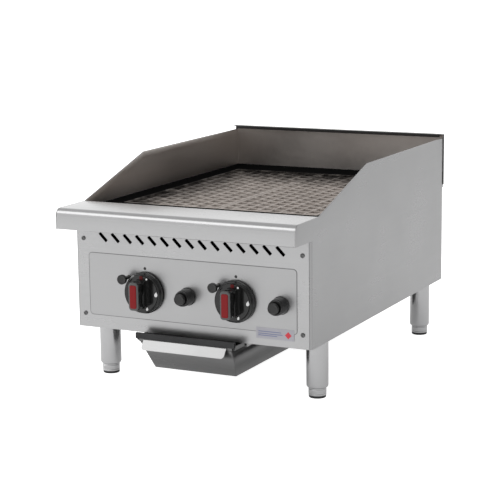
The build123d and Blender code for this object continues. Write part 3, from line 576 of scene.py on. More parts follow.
def make_finishes(settings):
    """Every finish of the charbroiler, by name."""
    across, along, upright = (35, 35, 900), (900, 35, 900), (900, 900, 35)
    return {
        "front": steel_finish("brushed_front", settings.steel, across),
        "ledge": steel_finish(
            "brushed_ledge", settings.steel, across, rough=(0.23, 0.27), marks=0.0, depth=0.05
        ),
        # painted shade: a darker copy of the panel steel for the sides
        "side": steel_finish(
            "brushed_side_painted_shade", settings.side, (900, 30, 900), contrast=0.015, marks=0.0, depth=0.015
        ),
        "guard": steel_finish(
            "guard_inner", settings.guard, along, rough=(0.30, 0.36), marks=0.0, depth=0.04
        ),
        # painted shade: near-black steel where the hems and rim lie in shade
        "rim": steel_finish("rim_painted_shade", settings.rim, across, rough=(0.3, 0.4)),
        "leg": steel_finish("drawn_leg", settings.leg, upright, rough=(0.16, 0.24), marks=0.0),
        "tray": steel_finish("tray_sheet", settings.tray, across, rough=(0.24, 0.34), contrast=0.08),
        "lip": steel_finish("tray_lip", settings.lip, across, rough=(0.24, 0.32)),
        "screw": plain_finish("screw_zinc", settings.tray, 0.3, metallic=1.0, scale=1500.0, depth=0.05),
        "iron": iron_finish("seasoned_iron", settings.iron),
        "black": plain_finish("firebox_black", settings.black, 0.9, scale=700.0, gloss=0.0),
        "burner": plain_finish(
            "burner_steel", settings.burner, 0.45, metallic=1.0, scale=300.0, contrast=0.3
        ),
        "pipe": plain_finish("gas_pipe", settings.pipe, 0.4, metallic=1.0, scale=800.0),
        "brass": plain_finish("turned_brass", settings.brass, 0.28, metallic=1.0, scale=1500.0, depth=0.05),
        "plastic": plain_finish("knob_black", settings.plastic, 0.12, depth=0.03),
        # painted highlight: a lighter copy of the black plastic for the grips' front faces
        "satin": plain_finish("knob_painted_highlight", settings.satin, 0.42, depth=0.12),
        "red": plain_finish("insert_red", settings.red, 0.5, depth=0.06, ior=1.3),
        "rubber": plain_finish("pad_rubber", settings.rubber, 0.6, scale=1300.0, depth=0.3),
        "film": overlay_finish("overlay_film", settings.film, settings.line),
        "paper": print_finish("plate_film", settings.paper),
        "ink": print_finish("black_ink", settings.plastic),
        "white": print_finish("white_ink", settings.white),
        "pointer": plain_finish("pointer_red", tone(settings.red, 0.5), 0.4, depth=0.06, ior=1.3),
        "red_ink": print_finish("red_ink", (0.55, 0.03, 0.05, 1)),
        "blue_ink": print_finish("blue_ink", (0.16, 0.18, 0.30, 1)),
        "ceramic": plain_finish("electrode_ceramic", settings.ceramic, 0.3, scale=1200.0),
    }


finishes = {}


def finish_of(context, *names):
    """The named finishes, made on first use."""
    if not finishes:
        finishes.update(make_finishes(context.scene.charbroiler_finishes))
    return [finishes[name] for name in names]


# ---- operators: one for each group of pieces ----
class CHARBROILER_OT_body(bpy.types.Operator):
    """Finish the body's flat panels, which keep their CAD shapes"""

    bl_idname = "charbroiler.body"
    bl_label = "Body panels"

    def execute(self, context):
        front, side, film = finish_of(context, "front", "side", "film")
        screw, black, pipe = finish_of(context, "screw", "black", "pipe")
        dress(front, "front_panel", "rear_panel")
        dress(side, "left_side_panel", "right_side_panel")
        dress(film, "control_overlay")
        dress(screw, "panel_screws", "leg_bolts")
        dress(black, "floor_pan")
        dress(pipe, "tray_rails")
        return {"FINISHED"}


class CHARBROILER_OT_prints(bpy.types.Operator):
    """Add the printed dots above the knobs and the plain strips on the plate"""

    bl_idname = "charbroiler.prints"
    bl_label = "Prints"

    def execute(self, context):
        paper, ink, red, blue = finish_of(context, "paper", "ink", "red_ink", "blue_ink")
        dress(paper, "data_plate")
        front = corners("control_overlay")[0][1]
        thick = context.scene.charbroiler_knobs.mark_thick
        dot_radius, dot_rise = 2.6 * MM, 42 * MM
        dots = []
        for side in SIDES:
            x, _, z = centre(side + "_knob")
            top = front - thick
            profile = eased([(0, front), (dot_radius, front), (dot_radius, top), (0, top)], 0)
            dots.append(skin(turned(profile, "Y", (x, z + dot_rise), 24)))
        make_piece("knob_position_dots", dots, [ink], BODY)
        low, high = corners("data_plate")
        width, height = high[0] - low[0], high[2] - low[2]
        strips = []
        for share, reach in ((0.62, 0.60), (0.42, 0.64), (0.26, 0.5)):
            z = low[2] + height * share
            x = low[0] + width * 0.06
            strips.append(skin(block((x, low[1] - thick, z), (x + width * reach, low[1], z + height * 0.07))))
        make_piece("plate_strips", strips, [blue], BODY)
        middle = (low[0] + width * 0.85, low[2] + height * 0.48)
        angle = np.linspace(0, 2 * np.pi, 4, endpoint=False)
        half_diamond = 6.2 * MM
        diamond = middle + half_diamond * np.stack([np.cos(angle), np.sin(angle)], axis=1)
        make_piece("plate_mark", [skin(carried(diamond, "Y", low[1] - thick, low[1]))], [red], BODY)
        return {"FINISHED"}


class CHARBROILER_OT_ledge(bpy.types.Operator):
    """Fold the bull-nosed ledge in front of the grates"""

    bl_idname = "charbroiler.ledge"
    bl_label = "Ledge"

    def execute(self, context):
        sizes = context.scene.charbroiler_sheets
        low, high = corners("front_ledge")
        face = corners("front_panel")[0][1]
        flange = corners("firebox_front_wall")[1][2]
        points = [
            (high[1], flange),
            (high[1], high[2]),
            (low[1], high[2]),
            (low[1], low[2]),
            (face + sizes.ledge_return, low[2]),
        ]
        radii = [sizes.small_fold, sizes.nose_radius, sizes.small_fold]
        section = sheet_section(points, radii, sizes.thickness, steps=14)
        shell = skin(carried(section, "X", low[0], high[0]))
        make_piece(
            "ledge_sheet", [shell], finish_of(context, "ledge"), BODY, ["front_ledge"],
            rounding=sizes.edge_round, crease=50,
        )
        return {"FINISHED"}


class CHARBROILER_OT_side_guards(bpy.types.Operator):
    """Build the side splash guards, hemmed along their sloping tops"""

    bl_idname = "charbroiler.side_guards"
    bl_label = "Side guards"

    def guard(self, sizes):
        """
        The right guard: at each station from the nose to the rear, a closed loop goes up the outer face,
        over a half round, down the hem and down the inner face. The stations' tops follow an arc at
        the nose, the ledge's level, the straight slope and the level top.
        """
        low, high = corners("right_splash_guard")
        ledge = corners("front_ledge")[1]
        radius, sheet = sizes.nose_radius, sizes.thickness
        arc = np.linspace(0, np.pi / 2, 12)
        kink = ledge[1] + sizes.guard_run
        steep = math.hypot(sizes.guard_run, high[2] - ledge[2]) / sizes.guard_run
        stations = [
            (low[1] + radius * (1 - math.cos(a)), ledge[2] - radius * (1 - math.sin(a)), 0, sheet / 2)
            for a in arc
        ]
        stations += [
            (ledge[1], ledge[2], 0, sheet / 2),
            (ledge[1], ledge[2], sizes.guard_hem * steep, sheet),
            (kink, high[2], sizes.guard_hem * (1 + steep) / 2, sheet),
            (high[1], high[2], sizes.guard_hem, sheet),
        ]
        y, top, hem, half_round = np.array(stations).T
        turn = np.linspace(0, np.pi, 7)
        across = high[0] - half_round[:, None] * (1 - np.cos(turn))
        over = top[:, None] - half_round[:, None] * (1 - np.sin(turn))
        column = np.ones(len(y))[:, None]
        inside = (high[0] - 2 * half_round)[:, None]
        foot = np.maximum(top - np.maximum(hem, 2 * sheet), low[2])[:, None]
        inner_face = (high[0] - sheet) * column
        x = np.concatenate([high[0] * column, across, inside, inner_face, inner_face], 1)
        z = np.concatenate([low[2] * column, over, foot, foot, low[2] * column], 1)
        loops = np.stack([x, np.broadcast_to(y[:, None], x.shape), z], axis=2)
        outer, edge, inner = 0, 2, 1
        finish = [outer] + [outer, outer] + [edge] * 3 + [inner] * 5
        return skin(loops, finish, end=outer)

    def execute(self, context):
        sizes = context.scene.charbroiler_sheets
        shell = self.guard(sizes)
        for side, sign in SIDES.items():
            # The left hem takes the near-black rim finish, painted shade; the right hem takes the plain lip
            # steel.
            edge = "rim" if side == "left" else "lip"
            make_piece(
                side + "_guard_sheet", [shell if sign > 0 else mirrored(shell)],
                finish_of(context, "side", "guard", edge), BODY, [side + "_splash_guard"],
            )
        return {"FINISHED"}


class CHARBROILER_OT_rear_guard(bpy.types.Operator):
    """Build the rear splash guard with its folded rim"""

    bl_idname = "charbroiler.rear_guard"
    bl_label = "Rear guard"

    def execute(self, context):
        sizes = context.scene.charbroiler_sheets
        sheet = sizes.thickness
        low, high = corners("back_splash_guard")
        inner = corners("front_ledge")[1][0] - 2 * sheet
        half = corners("right_side_panel")[1][0]
        front = high[1] - sizes.rim_depth
        fold_line = [(high[1], low[2]), (high[1], high[2]), (front, high[2])]
        wall = sheet_section(fold_line, [sizes.small_fold], sheet)
        level = carried(wall, "X", low[0], high[0])
        raised = wall[:, 1] > high[2] - 2.5 * MM
        outer = wall[:, 0] > high[1] - 0.01 * MM
        # The rim's top, its lip and its returns take the near-black rim finish, painted shade; the back face
        # takes the darker side steel, also painted shade.
        shells = [skin(level, (raised & np.roll(raised, -1)) + 2 * (outer & np.roll(outer, -1)))]
        lip_low = (-inner, front, high[2] - sizes.rim_drop)
        lip_high = (inner, front + sheet, high[2] - sheet / 2)
        shells.append(skin(block(lip_low, lip_high), 1, end=1))
        for sign in SIDES.values():
            x = sorted((sign * half, sign * high[0]))
            start, end = high[1] - sizes.rear_wrap, high[1] - sheet / 2
            shells.append(skin(block((x[0], start, low[2]), (x[1], end, high[2] - sheet / 2)), 1, end=1))
        make_piece(
            "rear_guard_sheet", shells, finish_of(context, "guard", "rim", "side"), BODY,
            ["back_splash_guard"], rounding=sizes.edge_round, crease=50,
        )
        return {"FINISHED"}


class CHARBROILER_OT_grates(bpy.types.Operator):
    """Cast the two grates: long bars, and short cross bars that step by half from one column to the next"""

    bl_idname = "charbroiler.grates"
    bl_label = "Grates"

    def bar_section(self, width, low, high, crown):
        """A bar's section: a rectangle with a rounded top and slightly drawn-in foot."""
        half = width / 2
        foot = half * 0.8
        top, _ = filleted([(foot, low), (half, high), (-half, high), (-foot, low)], [crown, crown], 4)
        return top

    def cross_bar(self, sizes, width, low, high):
        """
        A cross bar from the middle of one long bar to the next. Its half width grows by flare * n^2, where
        n goes from 0 near its middle to 1 beside the long bars.
        """
        share = np.array([-0.5, -0.34, -0.24, -0.12, 0.12, 0.24, 0.34, 0.5])
        near = np.clip((np.abs(share) - 0.12) / 0.26, 0, 1) ** 2
        section = self.bar_section(sizes.bar, low, high - sizes.step, sizes.crown)
        sections = np.repeat(section[None], len(share), axis=0)
        sections[..., 0] *= 1 + (2 * sizes.flare / sizes.bar) * near[:, None]
        return skin(stacked(sections, "X", share * width))

    def grate(self, side, sizes):
        """
        One grate: inner long bars, a border, and cross bars, which stand at whole steps in the first, third
        and every other column, and at halves in the rest.
        """
        low, high = corners(side + "_grate")
        span_x, span_y = (high - low)[:2]
        width = (span_x - 2 * sizes.border + sizes.bar) / sizes.columns
        depth = (span_y - 2 * sizes.border + sizes.bar) / sizes.rows
        first = low[:2] + sizes.border - sizes.bar / 2
        long_bar = self.bar_section(sizes.bar, low[2], high[2], sizes.crown)
        end = sizes.border / 2
        shells = [
            repeated(
                skin(carried(long_bar, "Y", low[1] + end, high[1] - end)),
                [(first[0] + k * width, 0, 0) for k in range(1, sizes.columns)],
            )
        ]
        outer = self.bar_section(sizes.border, low[2], high[2], sizes.crown)
        for x in (low[0] + end, high[0] - end):
            shells.append(repeated(skin(carried(outer, "Y", low[1], high[1])), [(x, 0, 0)]))
        for y in (low[1] + end, high[1] - end):
            across = skin(carried(outer, "X", low[0] + 1 * MM, high[0] - 1 * MM))
            shells.append(repeated(across, [(0, y, -0.05 * MM)]))
        cross = self.cross_bar(sizes, width, low[2], high[2])
        places = []
        for k in range(sizes.columns):
            x = first[0] + (k + 0.5) * width
            steps = np.arange(1, sizes.rows) if k % 2 == 0 else np.arange(sizes.rows) + 0.5
            places += [(x, first[1] + step * depth, 0) for step in steps]
        shells.append(repeated(cross, places))
        return shells

    def execute(self, context):
        sizes = context.scene.charbroiler_grates
        for side in SIDES:
            make_piece(
                side + "_grate_casting", self.grate(side, sizes), finish_of(context, "iron"), side + "_grate",
                [side + "_grate"],
            )
        return {"FINISHED"}


class CHARBROILER_OT_firebox(bpy.types.Operator):
    """Finish the firebox, radiants and burners, which keep their CAD shapes"""

    bl_idname = "charbroiler.firebox"
    bl_label = "Firebox"

    def execute(self, context):
        black, burner = finish_of(context, "black", "burner")
        dress(black, "left_firebox_wall", "right_firebox_wall", "firebox_front_wall", "firebox_rear_wall")
        dress(black, "grate_support_bar")
        for side in SIDES:
            dress(burner, side + "_radiant", side + "_burner", side + "_air_shutter")
        return {"FINISHED"}


class CHARBROILER_OT_gas_train(bpy.types.Operator):
    """Finish the pipe, valves, jets and electrodes behind the panel"""

    bl_idname = "charbroiler.gas_train"
    bl_label = "Gas train"

    def execute(self, context):
        pipe, brass, ceramic, screw = finish_of(context, "pipe", "brass", "ceramic", "screw")
        dress(pipe, "gas_manifold", "pilot_tubes")
        dress(brass, "gas_inlet_fitting", "gas_valves", "gas_orifices", "pilot_valves")
        dress(ceramic, "spark_electrodes")
        dress(screw, "left_valve_stem", "right_valve_stem")
        return {"FINISHED"}


class CHARBROILER_OT_knobs(bpy.types.Operator):
    """Mould the two knobs with their inserts, pointers and printed marks"""

    bl_idname = "charbroiler.knobs"
    bl_label = "Knobs"

    def dial(self, low, high, x, z, face):
        """The skirt and dial turned about the knob's axis: a flared skirt, a step and a shallow cone."""
        radius = (high[0] - low[0]) / 2
        back = high[1]
        profile = eased(
            [
                (4.1 * MM, back),
                (radius, back),
                (radius, back - 2.2 * MM),
                (radius - 1.4 * MM, back - 3.0 * MM),
                (radius - 2.0 * MM, face + 1.5 * MM),
                (radius - 3.6 * MM, face),
                (radius - 5.2 * MM, face + 0.5 * MM),
                (0, face - 1.2 * MM),
            ],
            0.35 * MM,
        )
        return skin(turned(profile, "Y", (x, z), 72))

    def grip(self, sizes, low, x, z, face):
        """
        The grip as rounded rectangles from the dial to its front: a foot that flares by a square law, a
        shallow step along the sides, a rounded front edge, and the pocket for the insert.
        """
        width, height = sizes.grip_width, sizes.grip_length
        front = low[1] + 0.6 * MM
        depth = face - front
        # place from 0 at the dial to 1 at the front, and how far the outline is moved in
        levels = [
            (-0.10, -0.8), (0.0, -0.8), (0.04, -0.2), (0.08, 0.0), (0.42, 0.35), (0.44, 0.9), (0.47, 0.9),
            (0.49, 0.4), (0.93, 0.7), (0.975, 1.0), (0.995, 1.7), (1.0, 2.4),
        ]
        loops, places = [], []
        for place, inset in levels:
            move = np.array([width / 2 - inset * MM, height / 2 - inset * MM])
            loops.append(rounded_loop((x, z) - move, (x, z) + move, 5.5 * MM, 6))
            places.append(face - place * depth)
        for extra, drop in ((0.15, 0.0), (0.0, 0.3), (0.0, sizes.pocket_depth / MM)):
            insert = self.insert_half + extra * MM
            loops.append(rounded_loop((x, z) - insert, (x, z) + insert, sizes.insert_corner, 6))
            places.append(front + drop * MM)
        return stacked(loops, "Y", places)

    def execute(self, context):
        sizes = context.scene.charbroiler_knobs
        black, satin, red, dark_red, white = finish_of(context, "plastic", "satin", "red", "pointer", "white")
        for side in SIDES:
            low, high = corners(side + "_knob")
            x, _, z = centre(side + "_knob")
            face = high[1] - sizes.dial_depth
            insert_low, insert_high = corners(side + "_knob_insert")
            self.insert_half = ((insert_high - insert_low) / 2)[[0, 2]]
            grip = self.grip(sizes, low, x, z, face)
            points, faces, numbers = skin(grip)
            per_loop = grip.shape[1]
            # the front faces and the insert pocket take the lighter plastic, a painted highlight
            numbers = [1 if i // per_loop >= 8 else 0 for i in range(len(numbers))]
            shells = [self.dial(low, high, x, z, face), (points, faces, numbers)]
            make_piece(
                side + "_knob_moulding", shells, [black, satin], side + "_knob",
                [side + "_knob"], crease=50,
            )
            insert = self.insert(sizes, insert_low, insert_high)
            make_piece(
                side + "_grip_insert", [skin(insert)], [red], side + "_knob",
                [side + "_knob_insert"], crease=50,
            )
            self.marks(sizes, side, x, z, face, dark_red, white)
        return {"FINISHED"}

    def insert(self, sizes, low, high):
        """The insert as rounded rectangles with a crowned front."""
        middle, half = ((low + high) / 2)[[0, 2]], ((high - low) / 2)[[0, 2]]
        loops, places = [], []
        front = low[1]
        levels = ((0, high[1]), (0, front + 0.5 * MM), (0.2, front + 0.2 * MM), (0.7, front), (2.5, front))
        for inset, place in levels:
            size = half - inset * MM
            corner = max(sizes.insert_corner - inset * MM, 0.5 * MM)
            loops.append(rounded_loop(middle - size, middle + size, corner, 8))
            places.append(place)
        return stacked(loops, "Y", places)

    def flame(self, width, height):
        """A plain drop: its half width at height s is width/2 * sin(pi s^0.7) and its tip leans aside."""
        s = np.linspace(0, 1, 13)
        half = width / 2 * np.sin(np.pi * s**0.7)
        lean = 0.18 * width * s**2
        right = np.stack([lean + half, (s - 0.4) * height], axis=1)
        left = np.stack([lean - half, (s - 0.4) * height], axis=1)
        return np.concatenate([right, left[-2:0:-1]])

    def marks(self, sizes, side, x, z, face, red, white):
        """The large and small flame, the closed dot and the pointer, each on the dial's face."""
        shapes = []
        for angle, width, height in ((0, 6.0, 9.0), (-68, 4.2, 6.0)):
            shapes.append((angle, self.flame(width * MM, height * MM)))
        ring = np.linspace(0, 2 * np.pi, 16, endpoint=False)
        shapes.append((68, 1.7 * MM * np.stack([np.cos(ring), np.sin(ring)], axis=1)))
        top = face - 0.2 * MM
        shells = []
        for angle, outline in shapes:
            turn = math.radians(angle)
            spot = np.array([x + sizes.mark_radius * math.cos(turn), z + sizes.mark_radius * math.sin(turn)])
            shells.append(skin(carried(outline + spot, "Y", top - sizes.mark_thick, top + 0.4 * MM)))
        make_piece(side + "_dial_marks", shells, [white], side + "_knob")
        half, tip = 3.2 * MM, 31.2 * MM
        base = z + sizes.grip_length / 2 + 0.3 * MM
        pointer = rounded_loop((x - half, base), (x + half, z + tip), 1.2 * MM, 4)
        shell = skin(carried(pointer, "Y", top - sizes.mark_thick, top + 0.4 * MM))
        make_piece(side + "_pointer", [shell], [red], side + "_knob")


class CHARBROILER_OT_buttons(bpy.types.Operator):
    """Turn the igniters and the small push buttons"""

    bl_idname = "charbroiler.buttons"
    bl_label = "Buttons"

    def housing(self, button, front, face, back):
        """One igniter housing: a flange, a stepped cone with a ring at its nose, and the barrel behind."""
        low, high = corners(button)
        radius = (high[0] - low[0]) / 2
        middle = ((low + high) / 2)[[0, 2]]
        base, nose, barrel = 15.8 * MM, 13.2 * MM, 11.5 * MM
        bore = radius + 0.06 * MM
        barrel_end, bore_end = back - 12 * MM, back - 14 * MM
        profile = eased(
            [
                (bore, barrel_end),
                (barrel, barrel_end),
                (barrel, face),
                (base, face),
                (base, face - 2.6 * MM),
                (base - 0.9 * MM, face - 3.4 * MM),
                (nose + 0.7 * MM, front + 5.6 * MM),
                (nose, front + 5.0 * MM),
                (nose - 0.2 * MM, front + 0.9 * MM),
                (nose - 1.0 * MM, front),
                (radius + 1.6 * MM, front),
                (radius + 1.0 * MM, front + 0.9 * MM),
                (bore, front + 0.9 * MM),
                (bore, bore_end),
            ],
            0.25 * MM,
        )
        return skin(turned(profile, "Y", middle, 56))

    def nut(self, button, panel):
        """The hexagonal nut that clamps the housing from behind: a ring round its barrel."""
        angle = np.radians(np.arange(6) * 60 + 30)
        hexagon = np.stack([np.cos(angle), np.sin(angle)], axis=1)
        radii, depths = (17.3, 17.3, 12.9, 12.9), (0, 5, 5, 0)
        sections = [centre(button)[[0, 2]] + radius * MM * hexagon for radius in radii]
        return skin(stacked(sections, "Y", panel + np.array(depths) * MM), closed=True)

    def execute(self, context):
        black, screw = finish_of(context, "plastic", "screw")
        low, high = corners("igniter_housings")
        face = corners("control_overlay")[0][1]
        panel = corners("control_overlay")[1][1] + context.scene.charbroiler_sheets.thickness
        shells = []
        for side in SIDES:
            shells.append(self.housing(side + "_igniter_button", low[1], face, high[1]))
            points, faces, numbers = self.nut(side + "_igniter_button", panel)
            shells.append((points, faces, [1] * len(numbers)))
        make_piece(
            "igniter_bodies", shells, [black, screw], BODY, ["igniter_housings"], crease=40
        )
        for side in SIDES:
            self.plunger(side, black)
            self.push_button(side, black)
        return {"FINISHED"}

    def plunger(self, side, black):
        """An igniter's plunger: a dished front inside a rounded rim."""
        name = side + "_igniter_button"
        low, high = corners(name)
        radius = (high[0] - low[0]) / 2
        profile = eased(
            [
                (0, high[1]),
                (radius, high[1]),
                (radius, low[1]),
                (radius - 1.6 * MM, low[1]),
                (radius - 2.4 * MM, low[1] + 0.5 * MM),
                (0, low[1] + 0.7 * MM),
            ],
            0.5 * MM,
        )
        shell = skin(turned(profile, "Y", centre(name)[[0, 2]], 48))
        make_piece(side + "_igniter_plunger", [shell], [black], name, [name], crease=40)

    def push_button(self, side, black):
        """A push button: a flat head with a rounded rim, a collar and its rod."""
        name = side + "_pilot_button"
        low, high = corners(name)
        head = (high[0] - low[0]) / 2
        rod = 3.5 * MM
        profile = eased(
            [
                (0, high[1]),
                (rod, high[1]),
                (rod, low[1] + 8.2 * MM),
                (rod + 1.4 * MM, low[1] + 7.2 * MM),
                (rod + 1.4 * MM, low[1] + 5.8 * MM),
                (head, low[1] + 5.8 * MM),
                (head, low[1]),
                (head - 2.2 * MM, low[1]),
                (head - 3.0 * MM, low[1] + 0.4 * MM),
                (0, low[1] + 0.5 * MM),
            ],
            0.4 * MM,
        )
        shell = skin(turned(profile, "Y", centre(name)[[0, 2]], 48))
        make_piece(side + "_push_button", [shell], [black], name, [name], crease=40)


class CHARBROILER_OT_drip_tray(bpy.types.Operator):
    """Fold the drip tray, its bright pull lip and its black grip bar"""

    bl_idname = "charbroiler.drip_tray"
    bl_label = "Drip tray"

    def pan(self, sizes, sheet, low, high, rim):
        """
        The pan as rounded rectangles: up the outside from the bottom to the rim, over it, and down the
        inside. Its half width and front and rear edges go in a straight line from bottom to rim.
        """
        def level(share, inset, z):
            half = sizes.half_bottom + (sizes.half_top - sizes.half_bottom) * share - inset
            front = low[1] + sizes.slope * (1 - share) + inset
            back = high[1] - sizes.slope / 2 * (1 - share) - inset
            return rounded_loop((-half, front), (half, back), max(sizes.corner - inset, 1 * MM), 5), z

        levels = [
            level(0, 3 * MM, low[2]),
            level(0, 1.0 * MM, low[2] + 0.25 * MM),
            level(0.02, 0.1 * MM, low[2] + 1.2 * MM),
            level(1, 0, rim),
            level(1, 0, rim + 0.2 * MM),
            level(1, sheet, rim + 0.2 * MM),
            level(0.03, sheet, low[2] + sheet + 1.5 * MM),
            level(0, sheet + 2.4 * MM, low[2] + sheet),
        ]
        loops, places = zip(*levels)
        return skin(stacked(loops, "Z", places))

    def rims(self, sizes, sheet, low, high, rim):
        """The turned-up rim along both sides, the rear wall and the front wall."""
        x = high[0]
        fold_line = [(sizes.half_top - sheet, rim), (x, rim), (x, rim + sizes.rim_height)]
        section = sheet_section(fold_line, [1.6 * MM], sheet)
        side = skin(carried(section, "Y", low[1] + 3 * MM, high[1]))
        top = sizes.half_top
        rear = block((-top, high[1] - sheet, rim - 1 * MM), (top, high[1], rim + sizes.rim_height))
        front = block((-top, low[1], rim - 1 * MM), (top, low[1] + sheet, rim + sizes.wall_rise))
        return [side, mirrored(side), skin(rear), skin(front)]

    def lip(self, sizes, sheet):
        """
        The pull lip: a folded section whose lower edge is drawn in at both ends, so that its corners
        are quarter rounds. Along X the cut-back is corner - sqrt(corner^2 - (corner - s)^2).
        """
        low, high = corners("tray_pull_lip")
        grip = corners("tray_grip_bar")
        turn = grip[0][2] - 0.8 * MM
        back = high[1]
        drop = sizes.lip_corner
        s = drop * (1 - np.cos(np.linspace(0, np.pi / 2, 7)))
        cut = drop - np.sqrt(np.maximum(drop**2 - (drop - s) ** 2, 0))
        places = np.concatenate([low[0] + s, high[0] - s[::-1]])
        cuts = np.concatenate([cut, cut[::-1]])
        start, end = np.array([back, turn]), np.array([low[1], low[2]])
        way = (end - start) / np.linalg.norm(end - start)
        sections = [
            sheet_section([(back, high[2]), start, end - way * (amount + 0.2 * MM)], [2 * MM], -sheet, 6)
            for amount in cuts
        ]
        return skin(stacked(sections, "X", places))

    def grip(self, sheet, tray_front, wall_top):
        """The black channel over the front wall's top edge, with round upper edges."""
        low, high = corners("tray_grip_bar")
        wall = sheet + 0.05 * MM
        section = np.array(
            [
                (tray_front + wall, low[2]),
                (high[1], low[2]),
                (high[1], high[2]),
                (low[1], high[2]),
                (low[1], low[2]),
                (tray_front - wall, low[2]),
                (tray_front - wall, wall_top),
                (tray_front + wall, wall_top),
                (tray_front + wall, low[2]),
            ]
        )
        line, _ = filleted(section, [0.4 * MM, 1.2 * MM, 1.2 * MM, 0.4 * MM, 0, 0, 0], 4)
        return skin(carried(line[:-1], "X", low[0], high[0]))

    def execute(self, context):
        sizes = context.scene.charbroiler_tray
        sheet = context.scene.charbroiler_sheets.thickness
        tray, lip, rubber = finish_of(context, "tray", "lip", "rubber")
        low, high = corners("drip_tray")
        rim = high[2] - sizes.wall_rise
        shells = [self.pan(sizes, sheet, low, high, rim), *self.rims(sizes, sheet, low, high, rim)]
        make_piece(
            "drip_tray_pan", shells, [tray], "drip_tray", ["drip_tray"],
            rounding=0.25 * MM, crease=40,
        )
        make_piece(
            "drip_tray_lip", [self.lip(sizes, sheet)], [lip], "drip_tray",
            ["tray_pull_lip"], crease=40,
        )
        make_piece(
            "drip_tray_grip", [self.grip(sheet, low[1], high[2])], [rubber], "drip_tray",
            ["tray_grip_bar"], crease=40,
        )
        return {"FINISHED"}


class CHARBROILER_OT_legs(bpy.types.Operator):
    """Turn the legs, their screw feet and their pads"""

    bl_idname = "charbroiler.legs"
    bl_label = "Legs"

    def execute(self, context):
        leg, rubber = finish_of(context, "leg", "rubber")
        for corner in CORNERS:
            self.tube(corner, leg)
            self.foot(corner, leg)
            self.pad(corner, rubber)
        return {"FINISHED"}

    def tube(self, corner, steel):
        """The tube: its lower edge rolls in to the threaded plug, and its top seats on the body."""
        low, high = corners(corner + "_leg")
        radius = (high[0] - low[0]) / 2
        plug, plug_floor = 8.1 * MM, low[2] + 2 * MM
        profile = eased(
            [
                (plug, plug_floor),
                (plug, low[2]),
                (radius - 2.4 * MM, low[2]),
                (radius - 0.9 * MM, low[2] + 0.7 * MM),
                (radius, low[2] + 3.2 * MM),
                (radius, high[2] - 0.5 * MM),
                (radius - 0.5 * MM, high[2]),
                (0, high[2]),
            ],
            0.4 * MM,
        )
        inner = [(plug, plug_floor), (0, plug_floor)]
        shell = skin(turned(np.concatenate([inner[::-1], profile[1:]]), "Z", centre(corner + "_leg")[:2], 64))
        make_piece(corner + "_leg_tube", [shell], [steel], BODY, [corner + "_leg"], crease=40)

    def foot(self, corner, steel):
        """The foot: a collar with two fine turned grooves, and its stud."""
        name = corner + "_foot"
        low, high = corners(name)
        radius = (high[0] - low[0]) / 2
        groove, stud = 0.35 * MM, 8 * MM
        collar = low[2] + 14 * MM
        points = [(0, low[2]), (radius - 0.6 * MM, low[2]), (radius, low[2] + 0.6 * MM)]
        for z in (low[2] + 3.2 * MM, low[2] + 11.4 * MM):
            points += [
                (radius, z - groove), (radius - groove, z), (radius, z + groove),
            ]
        points += [
            (radius, low[2] + 13.4 * MM),
            (radius - 0.6 * MM, collar),
            (stud, collar),
            (stud, high[2]),
            (0, high[2]),
        ]
        shell = skin(turned(eased(points, 0.1 * MM, 3), "Z", centre(name)[:2], 56))
        make_piece(name + "_collar", [shell], [steel], name, [name], crease=40)

    def pad(self, corner, rubber):
        """The pad: a low disc with a rounded foot."""
        name = corner + "_foot_pad"
        low, high = corners(name)
        radius = (high[0] - low[0]) / 2
        profile = eased(
            [
                (0, low[2]),
                (radius - 0.8 * MM, low[2]),
                (radius, low[2] + 1.2 * MM),
                (radius, high[2]),
                (0, high[2]),
            ],
            0.3 * MM,
        )
        shell = skin(turned(profile, "Z", centre(name)[:2], 56))
        foot = corner + "_foot"
        make_piece(corner + "_rubber_pad", [shell], [rubber], foot, [name], crease=40)


